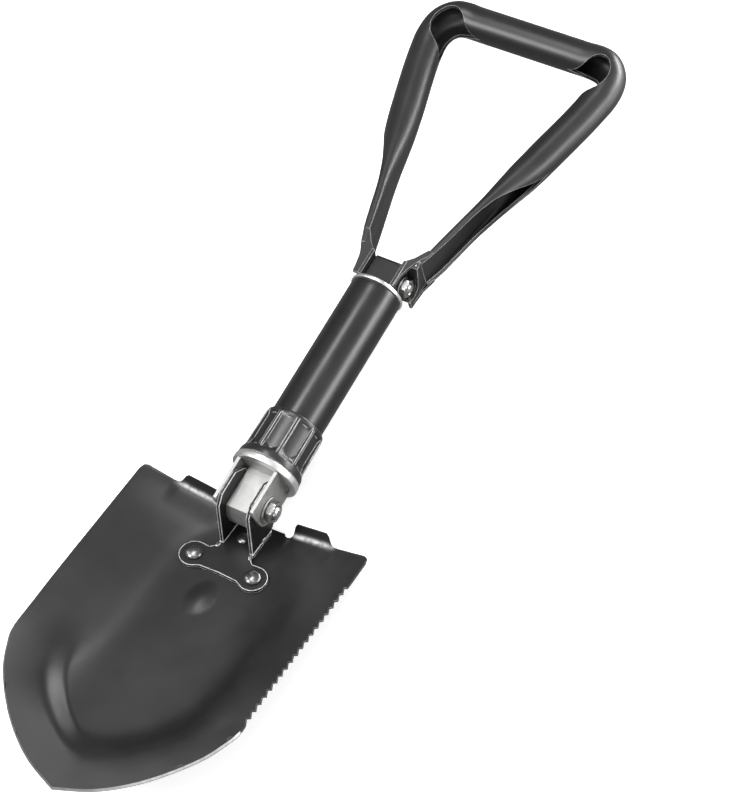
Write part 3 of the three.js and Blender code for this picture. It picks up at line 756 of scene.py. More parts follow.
# ------------------------------------------------------------------ bracket
def make_bracket():
    r = [(11.5, -3), (11.5, -26.4), (14.6, -29.2)]
    c, R = (20.0, -37.6), 8.8
    r += [(c[0] + R * math.cos(math.radians(a)), c[1] + R * math.sin(math.radians(a))) for a in range(100, -111, -10)]
    r += [(12.5, -43.6), (0, -43.0)]
    plate = fillet(r + [(-p[0], p[1]) for p in r[:-1][::-1]], 1.0, 3)
    plate_solid = prism(plate, 0.3, 2.5, lambda a, b, t: on_floor(a, b, t))
    F, FL, R2 = 15.5, 16.2, 17.3
    s = (math.cos(math.radians(165)), math.sin(math.radians(165)))
    e, eL = math.sqrt(R2 * R2 - F * F), math.sqrt(R2 * R2 - FL * FL)
    foot, up = (FL * s[0], FL * s[1]), (s[1], -s[0])
    down = (foot[1] + 20.0) / up[1]
    cheek = [(F, -9), (F, e), (e, F), (-e, F), (foot[0] + eL * up[0], foot[1] + eL * up[1]),
             (foot[0] - down * up[0], foot[1] - down * up[1]), (-22.4, floor_z(-22.4) + 0.9), (-3.4, floor_z(-3.4) + 0.9), (4, -20)]
    cheek = fillet(cheek, [2, 1.5, 1.5, 1.5, 1.5, 2.5, 1, 1, 2], 3)
    right = prism(cheek, 9.0, 11.1, along_x)
    left = prism(cheek, -11.1, -9.0, along_x)
    holes = [lathe([(0, -40), (4.2, -40), (4.2, 40), (0, 40)], 32, "x")]
    for name, (hx, hv, hr) in RIVET.items():
        prof = [(0, -6), (hr + 0.25, -6), (hr + 0.25, 8), (0, 8)]
        v, f = lathe(prof, 24, "z", (hx, hv, 0))
        holes.append(outward([on_floor(*p) for p in v], f))
    body = boolean([plate_solid, right, left], holes)
    body = bevelled(body, 0.5, 3)
    # small weld beads where the cheeks meet the plate
    beads = []
    for sx in (-1, 1):
        for v0, v1 in ((-27.0, -23.4), (-13.0, -9.5)):
            rows = []
            k, m = 9, 10
            for i in range(k):
                t = i / (k - 1)
                rad = 1.15 * math.sqrt(max(0.02, 1 - (2 * t - 1) ** 2)) * (1 + 0.08 * math.sin(17 * t))
                v = lerp(v0, v1, t)
                rows.append([on_floor(sx * 11.3 + rad * 0.9 * math.cos(q), v, 2.5 + rad * 0.9 * math.sin(q)) for q in np.arange(m) * 2 * math.pi / m])
            verts = [p for row in rows for p in row]
            faces = [(i * m + j, i * m + (j + 1) % m, (i + 1) * m + (j + 1) % m, (i + 1) * m + j) for i in range(k - 1) for j in range(m)]
            faces += [tuple(range(m))[::-1], tuple(range((k - 1) * m, k * m))]
            beads.append(outward(verts, faces))
    v, f = join(body, *beads)
    ob = add_object("bracket_stamping", v, f, [M_BRACKET], "blade", 38)
    weight_normals(ob)
    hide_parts("blade_bracket")


def make_rivets():
    for name, (x, v, r) in RIVET.items():
        small = name.endswith("_c")
        top, low = 2.8, -SHEET * CT - 0.3
        hr, hh = (r + 1.5, 1.7) if small else (r + 2.2, 2.9)
        prof = [(0, low - 1.2), (r + 0.5, low - 1.1), (r + 1.3, low - 0.6), (r + 1.5, low), (r, low), (r, top)]
        dome = [(hr - 0.15, top), (hr, top + 0.15)]
        for i in range(1, 13):
            a = i / 12 * math.pi / 2
            dome.append((hr * math.cos(a) ** 0.92, top + 0.25 + (hh - 0.25) * math.sin(a)))
        prof += dome
        prof[-1] = (0, top + hh)
        vv, ff = lathe(prof, 40, "z", (x, v, 0))
        vv, ff = outward([on_floor(*p) for p in vv], ff)
        ob = add_object(name.replace("bracket_", "") + "_domed", vv, ff, [M_RIVET], "blade", 40)
        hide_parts(name)


# --------------------------------------------------------------------- yoke
def make_yoke():
    core = [(17.3, -13.6), (17.4, -8.6), (18.2, -8.6), (18.2, 5), (-9, 5), (-11.8, -2), (-11.8, -9.4), (-8.4, -13.6)]
    wall = [(17.3, -13.6), (17.4, -8.6), (18.2, -8.6), (18.2, 8.6), (17.4, 8.6), (17.3, 15.5), (-11.2, 15.5), (-12.2, 13.4), (-11.4, 7.0), (-10.6, 0),
            (-9.2, -5.3), (-5.3, -9.2), (0, -10.6), (5, -13.6)]
    wall_r = [0.4, 0, 0, 0, 0, 0.4, 1.0, 1.5, 4, 3, 3, 3, 3, 3]
    w = fillet(wall, wall_r, 3)
    stem = lathe([(0, 17.7), (16.2, 17.7), (16.2, 23.6), (14.4, 23.6), (14.4, 66), (0, 66)], 48, "y")
    hole = lathe([(0, -40), (4.2, -40), (4.2, 40), (0, 40)], 32, "x")
    body = boolean([prism(core, -8.7, 8.7, along_x), prism(w, 11.4, 13.4, along_x), prism(w, -13.4, -11.4, along_x), stem], [hole])
    v, f = bevelled(body, 0.35, 3)
    ob = add_object("yoke_casting", v, f, [M_YOKE], "shaft", 38)
    weight_normals(ob)
    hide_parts("hinge_yoke")


# ----------------------------------------------------------- pivot hardware
def hex_nut(af, x0, x1, bore, y, turn):
    """Hexagon nut on the x axis with chamfered corners on its outer face."""
    seg, R = 60, af / 2
    rows = []
    def radius(k, cap):
        a = 2 * math.pi * k / seg
        flat = R / math.cos((a % (math.pi / 3)) - math.pi / 6)
        return min(flat, cap)
    corner = R / math.cos(math.pi / 6)
    prof = [(bore, x0, None), (R * 0.97, x0, "c0"), (corner * 0.975, x0 + 0.35, "c1"), (99, x0 + 0.8, "f"), (99, x1 - 0.9, "f"),
            (corner * 0.96, x1 - 0.35, "c1"), (R * 0.95, x1, "c0"), (bore + 0.45, x1, None), (bore, x1 - 0.45, None)]
    verts = []
    for r, t, kind in prof:
        row = []
        for k in range(seg):
            a = 2 * math.pi * k / seg + turn
            q = r if kind is None else radius(k, r)
            row.append(len(verts))
            verts.append((t, y + q * math.cos(a), q * math.sin(a)))
        rows.append(row)
    faces = []
    for a, b in zip(rows, rows[1:] + rows[:1]):
        for k in range(seg):
            k2 = (k + 1) % seg
            faces.append((a[k], a[k2], b[k2], b[k]))
    return outward(verts, faces)


def threaded_end(r, x0, x1, y, pitch=1.0, seg=40):
    """Bolt end past the nut: rolled thread as a helix."""
    turns = (x1 - x0) / pitch
    per = seg
    rows = int((x1 - x0) / (pitch / 8)) + 1
    verts, faces = [], []
    for i in range(rows):
        t = i / (rows - 1)
        x = lerp(x0, x1, t)
        for k in range(per):
            a = 2 * math.pi * k / per
            phase = ((x - x0) / pitch - k / per) % 1.0
            tri = abs(phase * 2 - 1)
            fade = min(1, (x1 - x) / 0.8)
            rr = r - 0.45 * (1 - tri) - 0.7 * max(0, 1 - fade) ** 1.5
            verts.append((x, y + rr * math.cos(a), rr * math.sin(a)))
    for i in range(rows - 1):
        for k in range(per):
            k2 = (k + 1) % per
            faces.append((i * per + k, i * per + k2, (i + 1) * per + k2, (i + 1) * per + k))
    faces += [tuple(range(per))[::-1], tuple(range((rows - 1) * per, rows * per))]
    return outward(verts, faces)


def make_pivot(tag, body, y, r, head_r, x_head, head_t, x_end, washers, nut, washer_r, turn):
    prof = [(0, x_head - head_t), (head_r * 0.45, x_head - head_t * 0.99), (head_r * 0.8, x_head - head_t * 0.8), (head_r * 0.97, x_head - head_t * 0.45),
            (head_r, x_head - head_t * 0.15), (head_r - 0.15, x_head), (r, x_head), (r, nut[1] - 0.2), (0, nut[1] - 0.2)]
    shank = lathe(prof, 48, "x", (0, y, 0))
    v, f = join(shank, threaded_end(r - 0.02, nut[1] - 0.6, x_end, y, 0.9))
    ob = add_object(f"bolt_{tag}_turned", v, f, [M_BOLT], body, 40)
    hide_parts(f"hinge_bolt_{tag}")
    for side, (x0, x1) in washers.items():
        prof = rounded([(r + 0.3, x0), (washer_r, x0), (washer_r, x1), (r + 0.3, x1)], [0.1, 0.3, 0.3, 0.1], 3)
        v, f = lathe(prof, 48, "x", (0, y, 0), closed=True)
        ob = add_object(f"washer_{tag}_{side}_pressed", v, f, [M_WASHER], body, 40)
        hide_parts(f"hinge_washer_{tag}_{side}")
    v, f = hex_nut(nut[2], nut[0], nut[1], r + 0.3, y, turn)
    ob = add_object(f"nut_{tag}_hex", v, f, [M_NUT], body, 25)
    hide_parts(f"hinge_nut_{tag}")


# ------------------------------------------------------------ ring and collar
def make_ring_and_collar():
    y0, y1 = span("collar_ring", 1)
    prof = rounded([(16.7, y0), (21.0, y0), (21.0, y1), (16.7, y1)], [0.3, 1.0, 0.8, 0.3], 4)
    v, f = lathe(prof, 96, "y", closed=True)
    ob = add_object("collar_ring_turned", v, f, [M_RING], "lock_ring", 50)
    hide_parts("collar_ring")
    c0, c1 = span("collar", 1)
    # one fin and one panel per 36 degrees; offsets in degrees from the fin's middle
    offs = [0, 1.3, 2.1, 2.6, 3.0, 3.4, 4.0, 4.8, 6.0, 8.0, 10.5, 13.0, 15.6]
    offs = [-o for o in offs[:0:-1]] + offs + [18.0]
    cols = [24.0 + 36.0 * i + o for i in range(10) for o in offs]
    ys = [(0.0, 0.0), (0.25, 0.18), (0.8, 0.3), (2.6, 0.2), (4.4, 0.0)]
    base = [(c0, 19.9), (c0 + 0.15, 20.25), (c0 + 0.5, 20.45), (c0 + 0.9, 20.5), (c0 + 2.6, 20.35), (c0 + 4.2, 20.15), (c0 + 4.8, 19.9),
            (c0 + 5.4, 19.3), (c0 + 5.9, 18.75), (c0 + 6.5, 18.45), (c0 + 7.2, 18.2), (c0 + 8.0, 18.1)]
    body = [c0 + 9 + 0.9 * i for i in range(int((c1 - 4.4 - c0 - 9) / 0.9) + 1)]
    base += [(q, 18.05) for q in body]
    base += [(c1 - 4.0, 18.05), (c1 - 3.4, 18.08), (c1 - 3.0, 18.2), (c1 - 2.6, 18.35), (c1 - 2.0, 18.4), (c1 - 1.0, 18.35), (c1 - 0.5, 18.2), (c1 - 0.15, 17.9), (c1, 17.5)]
    rows, verts = [], []
    for y, r in base:
        row = []
        for deg in cols:
            o = ((deg - 24.0 + 18.0) % 36.0) - 18.0
            a = abs(o)
            mid = 18.0 - a                             # degrees from the panel's middle
            rr = r
            # recessed panel: flat facet with rounded ends
            yl, yh = c0 + 5.6, c1 - 3.4
            arch = 4.4 * (1 - math.sqrt(max(0.0, 1 - (min(mid, 14.4) / 14.6) ** 2)))
            inside = float(smooth(0.0, 1.6, y - yl - arch)) * float(smooth(0.0, 0.8, yh - y - arch * 0.12)) * float(smooth(15.2, 14.4, mid))
            flat = lerp(17.25, 17.16 / math.cos(math.radians(min(mid, 14.0))), 0.35)
            rr = lerp(rr, min(rr, flat), inside)
            # fin
            top = lerp(19.75, 19.3, (y - c0 - 5) / (c1 - 3.4 - c0 - 5))
            tall = float(smooth(c1 - 2.0, c1 - 3.6, y))
            if y > c0 + 4.6:
                prof = float(np.interp(a, [0, 2.1, 2.6, 3.0, 3.4], [1, 1, 0.88, 0.4, 0]))
                rr = max(rr, lerp(rr, top, prof * tall)) if top > rr else rr
            rad = math.radians(deg)
            row.append(len(verts))
            verts.append((rr * math.sin(rad), y, rr * math.cos(rad)))
        rows.append(row)
    for y in (c1, c1 - 0.2, c0 + 0.2, c0):
        row = []
        rr = 16.9 if y in (c1, c0) else 16.7
        for deg in cols:
            rad = math.radians(deg)
            row.append(len(verts))
            verts.append((rr * math.sin(rad), y, rr * math.cos(rad)))
        rows.append(row)
    faces = []
    for a, b in zip(rows, rows[1:] + rows[:1]):
        for k in range(len(cols)):
            k2 = (k + 1) % len(cols)
            faces.append((a[k], a[k2], b[k2], b[k]))
    v, f = outward(verts, faces)
    ob = add_object("collar_fluted", v, f, [M_COLLAR], "lock_collar", 34)
    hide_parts("collar")


# ------------------------------------------------------------ shaft and tongue
def make_shaft():
    y0, y1 = span("shaft_tube", 1)
    R, T = span("shaft_tube", 0)[1], 1.5
    n = 44
    prof = [(R - T, y0), (R - 0.35, y0), (R - 0.1, y0 + 0.12), (R, y0 + 0.4)]
    prof += [(R, lerp(y0 + 0.4, y1 - 0.6, i / n)) for i in range(1, n)]
    prof += [(R, y1 - 0.6), (R - 0.12, y1 - 0.2), (R - 0.45, y1), (R - T, y1)]
    v, f = lathe(prof, 128, "y", closed=True)
    ob = add_object("tube_drawn", v, f, [M_TUBE], "shaft", 40)
    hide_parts("shaft_tube")
    y0, y1 = span("tube_ring", 1)
    R = span("tube_ring", 0)[1]
    prof = rounded([(10.9, y0), (R, y0), (R, y1), (10.9, y1)], [0.2, 0.5, 0.9, 0.2], 4)
    v, f = lathe(prof, 96, "y", closed=True)
    ob = add_object("tube_ring_rolled", v, f, [M_TOPRING], "shaft", 50)
    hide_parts("tube_ring")
    zt = 7.6
    ytop = span("handle_tongue", 1)[1]
    block = fillet([(150, -zt), (ytop, -zt), (ytop, zt), (150, zt)], [0, 2.6, 2.6, 0], 6)
    stem = lathe([(0, 118), (14.4, 118), (14.4, 152.0), (10.5, 152.0), (10.5, 155.0), (0, 155.0)], 48, "y")
    ring = lathe([(10.5, 152.4), (30, 152.4), (30, 155.4), (10.5, 155.4)], 48, "y", closed=True)
    hole = lathe([(0, -40), (3.2, -40), (3.2, 40), (0, 40)], 32, "x", (0, P, 0))
    body = boolean([stem, prism(block, -9.5, 9.5, along_x)], [ring, hole])
    v, f = bevelled(body, 0.45, 3)
    ob = add_object("tongue_block", v, f, [M_TONGUE], "shaft", 38)
    weight_normals(ob)
    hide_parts("handle_tongue")


# ------------------------------------------------------------------- handle
# stations from foot to the middle of the grip, right half:
# x, y, half width, half depth, squareness, half opening outwards, half opening inwards (degrees)
STATIONS = [
    (19.9, 176.5, 2.3, 12.2, 4.0, 66, 0), (22.8, 186, 3.1, 12.2, 4.0, 64, 0), (26.3, 200, 3.8, 12.1, 3.2, 60, 0),
    (30.3, 216, 4.4, 12.0, 2.6, 56, 0), (34.8, 232, 6.0, 11.8, 2.2, 47, 0), (39.3, 248, 8.2, 11.4, 2.05, 30, 0),
    (43.3, 262, 9.8, 11.0, 2.05, 10, 0), (46.0, 272, 10.3, 10.7, 2, 0, 0), (48.0, 280, 10.5, 10.6, 2, 0, 0), (53.2, 300, 10.5, 10.6, 2, 0, 0),
    (55.9, 311, 10.5, 10.6, 2, 0, 0), (58.2, 322, 10.5, 10.8, 2, 0, 14), (59.6, 332, 10.7, 11.4, 2.1, 0, 50),
    (59.4, 340.5, 10.9, 12.0, 2.1, 0, 60), (57.8, 346.5, 11.2, 12.2, 2.1, 0, 62), (55.0, 350.7, 11.2, 12.2, 2.1, 0, 62),
    (51.5, 353.5, 11.2, 12.0, 2.1, 0, 58), (46.0, 354.9, 11.0, 11.6, 2.05, 0, 44), (38, 354.9, 10.9, 10.9, 2, 0, 12),
    (31, 354.9, 10.9, 10.9, 2, 0, 0), (20, 354.9, 10.9, 10.9, 2, 0, 0), (8, 354.9, 10.9, 10.9, 2, 0, 0), (0, 354.9, 10.9, 10.9, 2, 0, 0),
]
HANDLE_T = 2.0


def monotone(t, v, q):
    """Monotone cubic through (t, v), read at q."""
    t, v = np.asarray(t, float), np.asarray(v, float)
    h, d = np.diff(t), np.diff(v) / np.diff(t)
    m = np.zeros(len(t))
    for i in range(1, len(t) - 1):
        if d[i - 1] * d[i] > 0:
            w1, w2 = 2 * h[i] + h[i - 1], h[i] + 2 * h[i - 1]
            m[i] = (w1 + w2) / (w1 / d[i - 1] + w2 / d[i])
    m[0], m[-1] = d[0], d[-1]
    k = np.clip(np.searchsorted(t, q, side="right") - 1, 0, len(t) - 2)
    s = (q - t[k]) / h[k]
    return ((1 + 2 * s) * (1 - s) ** 2 * v[k] + s * (1 - s) ** 2 * h[k] * m[k]
            + s * s * (3 - 2 * s) * v[k + 1] + s * s * (s - 1) * h[k] * m[k + 1])


def spline(pts, n_per):
    """Centripetal Catmull-Rom centre line with the station parameter of each point."""
    pts = np.array(pts, float)
    out, par = [], []
    ext = np.vstack([2 * pts[0] - pts[1], pts, [-pts[-2][0], pts[-2][1]]])
    for i in range(len(pts) - 1):
        p0, p1, p2, p3 = ext[i:i + 4]
        t0 = 0.0
        t1 = t0 + np.linalg.norm(p1 - p0) ** 0.5
        t2 = t1 + np.linalg.norm(p2 - p1) ** 0.5
        t3 = t2 + np.linalg.norm(p3 - p2) ** 0.5
        n = max(3, int(round(np.linalg.norm(p2 - p1) / n_per)))
        for s in np.arange(n) / n:
            t = lerp(t1, t2, s)
            a1 = (t1 - t) / (t1 - t0) * p0 + (t - t0) / (t1 - t0) * p1
            a2 = (t2 - t) / (t2 - t1) * p1 + (t - t1) / (t2 - t1) * p2
            a3 = (t3 - t) / (t3 - t2) * p2 + (t - t2) / (t3 - t2) * p3
            b1 = (t2 - t) / (t2 - t0) * a1 + (t - t0) / (t2 - t0) * a2
            b2 = (t3 - t) / (t3 - t1) * a2 + (t - t1) / (t3 - t1) * a3
            out.append((t2 - t) / (t2 - t1) * b1 + (t - t1) / (t2 - t1) * b2)
            par.append(i + s)
    out.append(pts[-1])
    par.append(len(pts) - 1)
    return np.array(out), np.array(par)


def handle_run():
    st = np.array(STATIONS, float)
    c, par = spline(st[:, :2], 2.4)
    idx = np.arange(len(st))
    cols = [monotone(idx, st[:, k], par) for k in range(2, 7)]
    right = np.column_stack([c] + cols)
    left = right[:-1][::-1].copy()
    left[:, 0] *= -1
    return np.vstack([right, left])


def section(a, b, sq, ang, off):
    q = 2.0 / sq
    ca, sa = np.cos(ang), np.sin(ang)
    return np.sign(ca) * np.abs(ca) ** q * (a - off), np.sign(sa) * np.abs(sa) ** q * (b - off)


def make_handle():
    run = handle_run()
    n = len(run)
    tan = np.zeros((n, 2))
    tan[1:-1] = run[2:, :2] - run[:-2, :2]
    tan[0], tan[-1] = run[1, :2] - run[0, :2], run[-1, :2] - run[-2, :2]
    tan /= np.linalg.norm(tan, axis=1)[:, None]
    nor = np.column_stack([tan[:, 1], -tan[:, 0]])      # away from the middle of the frame
    m = 28
    verts, faces = [], []
    closed_out = run[:, 5] < 0.6
    closed_in = run[:, 6] < 0.6
    for half in (1, -1):
        base = len(verts)
        for i in range(n):
            x, y, a, b, sq, go, gi = run[i]
            go = 0.0 if closed_out[i] else math.radians(go * (lerp(1.35, 1.12, smooth(38, 26, abs(x))) if half > 0 else 0.78))
            gi = 0.0 if closed_in[i] else math.radians(min(gi * 1.65, 102.0) if half > 0 else gi * 0.8)
            s = np.linspace(0, 1, m + 1)
            ang = go + s * (math.pi - gi - go)
            for off in (0.0, HANDLE_T):
                cx, cz = section(a, b, max(2.0, sq), ang, off)
                for u, w in zip(cx, cz):
                    verts.append((x + nor[i, 0] * u, y + nor[i, 1] * u, half * w))
        row = 2 * (m + 1)
        O = lambda i, j: base + i * row + j
        I = lambda i, j: base + i * row + (m + 1) + j
        for i in range(n - 1):
            for j in range(m):
                q = (O(i, j), O(i, j + 1), O(i + 1, j + 1), O(i + 1, j))
                p = (I(i, j), I(i + 1, j), I(i + 1, j + 1), I(i, j + 1))
                faces += [q, p] if half > 0 else [q[::-1], p[::-1]]
            for j, shut in ((0, closed_out), (m, closed_in)):
                if not (shut[i] and shut[i + 1]):
                    q = (O(i, j), O(i + 1, j), I(i + 1, j), I(i, j))
                    q = q if (j == 0) == (half > 0) else q[::-1]
                    faces.append(q)
        for i, flip in ((0, False), (n - 1, True)):
            for j in range(m):
                q = (O(i, j), I(i, j), I(i, j + 1), O(i, j + 1))
                faces.append(q if (not flip) == (half > 0) else q[::-1])
    ob = temp(verts, faces, "run")
    bm = bmesh.new()
    bm.from_mesh(ob.data)
    bmesh.ops.remove_doubles(bm, verts=bm.verts, dist=0.004)
    bmesh.ops.recalc_face_normals(bm, faces=bm.faces)
    bm.to_mesh(ob.data)
    bm.free()
    sheet = arrays(ob.data)
    bpy.data.objects.remove(ob)
    sheet[0][:, 1] = np.minimum(sheet[0][:, 1], (CAD_HI[1] - LOW[1]) * 1000.0 - 0.01)
    sheet[0][:, 2] = np.minimum(sheet[0][:, 2], (CAD_HI[2] - LOW[2]) * 1000.0 - 0.01)
    sheet = outward(*sheet)
    sheet = bevelled(sheet, 0.45, 3, angle=50, weld=0.003)

    def arc(r, a0, a1, k):
        return [(P + r * math.cos(math.radians(lerp(a0, a1, i / k))), r * math.sin(math.radians(lerp(a0, a1, i / k)))) for i in range(k + 1)]
    ear = [(P - 7.6, 12.4), (P + 10.7, 12.4)] + arc(8.0, 0, -165, 22) + [(P - 7.6, -1.6)]
    shelf = [(P + 8.7, 10.6), (P + 10.7, 10.6)] + arc(8.0, 0, -140, 20) + arc(6.7, -140, 0, 20) + [(P + 8.6, 9.0)]
    web = [(P + 16, 11.9), (P + 13, 11.9), (P + 10.2, 9.5), (P + 6.3, 0)] + arc(6.4, -10, -120, 16) + [(P - 5.2, -7), (P - 5.2, -12.3), (P + 16, -12.3)]
    tail = [(23.4, P + 22), (20.6, P + 23), (18.8, P + 20.7), (15.1, P + 15), (11.4, P + 11.4), (10, P + 10.6)]
    edge_r = [(12.3, P - 7.6), (12.8, P - 0.9), (14.1, P + 4.2), (15.8, P + 8.7), (18.8, P + 14.6), (21.8, P + 18.9)]
    edge_l = [(15.6, P - 7.6), (16.4, P - 1.6), (18.0, P + 6.0), (20.9, P + 12.4), (22.8, P + 18.0)]
    rear = [(17.6, P - 5.4), (19.4, P - 5.4), (20.6, P + 8), (23.4, P + 17.5), (22, P + 21), (17.6, P + 15)]
    hole = lathe([(0, -40), (3.2, -40), (3.2, 40), (0, 40)], 32, "x", (0, P, 0))

    def flow(pts, n=5):
        """Smooth line through the points."""
        q = np.array(pts, float)
        e = np.vstack([2 * q[0] - q[1], q, 2 * q[-1] - q[-2]])
        out = []
        for i in range(len(q) - 1):
            p0, p1, p2, p3 = e[i:i + 4]
            for t in np.arange(n) / n:
                out.append(tuple(0.5 * ((2 * p1) + (p2 - p0) * t + (2 * p0 - 5 * p1 + 4 * p2 - p3) * t ** 2 + (-p0 + 3 * p1 - 3 * p2 + p3) * t ** 3)))
        return out + [tuple(q[-1])]

    def one_foot(edge):
        front = [(10, P - 7.6)] + flow(edge + tail[:1]) + flow(tail[1:])
        solid = boolean([
            prism(ear, 10.0, 12.0, along_x), prism(shelf, 10.0, 19.6, along_x), prism(web, 17.6, 19.6, along_x),
            prism(front, 10.25, 12.12, along_z),
            prism(fillet(rear, [1, 1.5, 6, 4, 1, 1], 4), -12.3, -10.2, along_z)], [hole])
        return bevelled(solid, 0.4, 2)
    foot, foot_l = one_foot(edge_r), one_foot(edge_l)
    v, f = join(sheet, foot, mirrored(foot_l))
    ob = add_object("handle_formed", v, f, [M_HANDLE], "handle", 42)
    weight_normals(ob, 42)
    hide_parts("handle_frame")


make_blade()
make_bracket()
make_rivets()
make_yoke()
make_pivot("lower", "blade", 0.0, 3.9, 6.6, -15.1, 3.4, 20.6, {"r": (13.7, 14.7), "l": (-14.7, -13.7)}, (15.0, 19.2, 12.0), 8.2, 0.2)
make_pivot("upper", "handle", P, 2.9, 5.6, -13.4, 2.6, 18.2, {"r": (12.3, 13.1), "l": (-13.1, -12.3)}, (13.4, 17.4, 11.0), 6.3, 0.2)
make_ring_and_collar()
make_shaft()
make_handle()

# -------------------------------------------------------------------- stage
FLOOR_LIT, VEIL = 6.0, 0.45


def make_floor():
    me = bpy.data.meshes.new("floor")
    s = 6.0
    me.from_pydata([(-s, -s, -0.0006), (s, -s, -0.0006), (s, s, -0.0006), (-s, s, -0.0006)], [], [(0, 1, 2, 3)])
    n = Nodes("floor_paper")
    fine = n.noise(700, 3, 0.6)
    n.set(Base_Color=n.mix(n.remap(fine, 0.3, 0.7, 0, 1), grey(0.86), grey(0.88)), Roughness=0.9)
    n.bsdf.inputs["Specular IOR Level"].default_value = 0.1
    # painted reflection: in reflections the floor is an emitter, dark in front and on the left and glowing behind the
    # shaft
    sep = n.t.nodes.new("ShaderNodeSeparateXYZ")
    n.link(n.coord, sep.inputs[0])
    lit = n.math("MULTIPLY", n.remap(sep.outputs[1], 0.18, 0.32, 0, 1, "SMOOTHSTEP"), n.remap(sep.outputs[0], 0.08, 0.20, 0, 1, "SMOOTHSTEP"))
    refl = n.t.nodes.new("ShaderNodeEmission")
    n.link(n.remap(lit, 0, 1, 0.32, FLOOR_LIT), refl.inputs["Strength"])
    veil = n.t.nodes.new("ShaderNodeEmission")
    veil.inputs["Strength"].default_value = VEIL
    lift = n.t.nodes.new("ShaderNodeAddShader")
    n.link(n.bsdf.outputs[0], lift.inputs[0])
    n.link(veil.outputs[0], lift.inputs[1])
    path = n.t.nodes.new("ShaderNodeLightPath")
    mc = n.t.nodes.new("ShaderNodeMixShader")
    n.link(path.outputs["Is Camera Ray"], mc.inputs[0])
    n.link(n.bsdf.outputs[0], mc.inputs[1])
    n.link(lift.outputs[0], mc.inputs[2])
    mx = n.t.nodes.new("ShaderNodeMixShader")
    n.link(path.outputs["Is Glossy Ray"], mx.inputs[0])
    n.link(mc.outputs[0], mx.inputs[1])
    n.link(refl.outputs[0], mx.inputs[2])
    n.link(mx.outputs[0], n.out.inputs[0])
    me.materials.append(n.mat)
    ob = bpy.data.objects.new("floor", me)
    scene.collection.objects.link(ob)
    # the floor stays under the handle when that is folded down behind the shaft
    me = bpy.data.objects["handle_formed"].data
    co = np.empty(len(me.vertices) * 3)
    me.vertices.foreach_get("co", co)
    co = co.reshape(-1, 3)
    turn = math.radians(max(JOINT["handle_fold"]["range_deg"]))
    height = (co[:, 2] - TOP[2]) * math.cos(turn) - (co[:, 1] - TOP[1]) * math.sin(turn)
    probe = bpy.data.objects.new("floor_probe", None)
    scene.collection.objects.link(probe)
    probe.location = Vector(map(float, co[int(np.argmin(height))]))
    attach(probe, "handle")
    follow = ob.constraints.new("COPY_LOCATION")
    follow.target, follow.use_x, follow.use_y, follow.use_z = probe, False, False, True
    cap = ob.constraints.new("LIMIT_LOCATION")
    cap.use_max_z, cap.max_z = True, 0.0


make_floor()

WORLD_UP, ZENITH, L_OVER, L_SIDE, L_BACK, L_FRONT, L_TOP, L_FTOP = 0.28, 0.6, 17.0, 12.0, 32.0, 5.0, 7.0, 19.0
world = bpy.data.worlds.new("studio")
scene.world = world
world.use_nodes = True
wt = world.node_tree
wt.nodes.clear()
wo = wt.nodes.new("ShaderNodeOutputWorld")
bg = wt.nodes.new("ShaderNodeBackground")
bg.inputs[0].default_value = (1, 1, 1, 1)
wc = wt.nodes.new("ShaderNodeTexCoord")
ws = wt.nodes.new("ShaderNodeSeparateXYZ")
wt.links.new(wc.outputs["Generated"], ws.inputs[0])


def world_ramp(v, a, b, c, d):
    n = wt.nodes.new("ShaderNodeMapRange")
    n.interpolation_type = "SMOOTHSTEP"
    for k, x in zip(("From Min", "From Max", "To Min", "To Max"), (a, b, c, d)):
        n.inputs[k].default_value = x
    wt.links.new(v, n.inputs["Value"])
    return n.outputs["Result"]


def world_math(op, a, b):
    n = wt.nodes.new("ShaderNodeMath")
    n.operation = op
    wt.links.new(a, n.inputs[0])
    wt.links.new(b, n.inputs[1])
    return n.outputs[0]


up = world_ramp(ws.outputs[2], 0.10, 0.75, 0.14, WORLD_UP)
lowband = world_ramp(ws.outputs[0], -0.15, 0.35, 0.0, 0.30)
glow = world_math("MULTIPLY", world_ramp(ws.outputs[1], 0.42, 0.05, 0.0, 1.0), world_ramp(ws.outputs[2], 0.25, 0.70, 0.0, ZENITH))
wt.links.new(world_math("ADD", world_math("ADD", up, lowband), glow), bg.inputs[1])
wt.links.new(bg.outputs[0], wo.inputs[0])


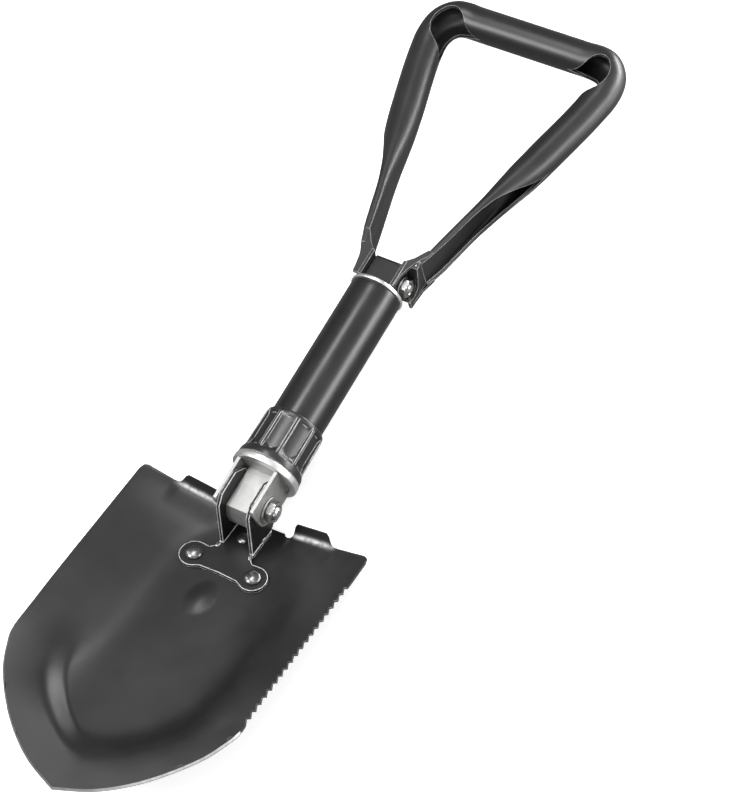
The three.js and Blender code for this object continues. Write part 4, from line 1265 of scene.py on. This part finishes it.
def softbox(name, direction, dist, w, h, radiance, target=(0, 0, 0.02), along=(0, 1, 0)):
    """Rectangular light; w is across, h is along the given world direction."""
    d = Vector(direction).normalized()
    li = bpy.data.lights.new(name, "AREA")
    li.shape = "RECTANGLE"
    li.size, li.size_y = w, h
    li.energy = radiance * math.pi * w * h
    li.color = (1, 1, 1)
    ob = bpy.data.objects.new(name, li)
    yl = (Vector(along) - d * d.dot(Vector(along))).normalized()
    xl = yl.cross(d)
    m = Matrix((xl, yl, d)).transposed().to_4x4()
    ob.matrix_world = Matrix.Translation(Vector(target) + d * dist) @ m
    scene.collection.objects.link(ob)
    return ob


softbox("overhead", (-0.17, 0.25, 0.955), 1.5, 0.26, 0.75, L_OVER)
softbox("front_top", (-0.38, -0.46, 0.80), 1.5, 0.50, 0.66, L_FTOP)
softbox("side", (0.90, 0.37, 0.24), 1.6, 0.42, 1.2, L_SIDE)
softbox("low_back", (0.44, 0.89, 0.065), 1.5, 1.15, 0.22, L_BACK, along=(0, 0, 1))
softbox("top_a", (0.10, -0.04, 1.0), 1.5, 0.50, 0.34, L_TOP)
softbox("top_b", (-0.72, 0.00, 0.69), 1.5, 0.40, 0.36, L_TOP)
softbox("low_front", (0.67, -0.70, 0.14), 1.5, 0.8, 0.4, L_FRONT, along=(0, 0, 1))

cam_data = bpy.data.cameras.new("camera")
cam = bpy.data.objects.new("camera", cam_data)
scene.collection.objects.link(cam)
right = Vector((0.8613256, 0.4790171, -0.1692950))
upv = Vector((-0.3428129, 0.7939017, 0.5021946))
backv = Vector((0.3749634, -0.3745165, 0.8480211))
m3 = Matrix((right, upv, backv)).transposed()
cam.matrix_world = Matrix.Translation(Vector(LOW) + Vector((0.6064969, -0.4827109, 1.2928278))) @ m3.to_4x4()
cam_data.sensor_width = 36.0
cam_data.lens = 2624.984 * 36.0 / 800.0
cam_data.clip_start, cam_data.clip_end = 0.05, 20.0
scene.camera = cam

scene.view_settings.view_transform = "Standard"
scene.view_settings.look = "None"
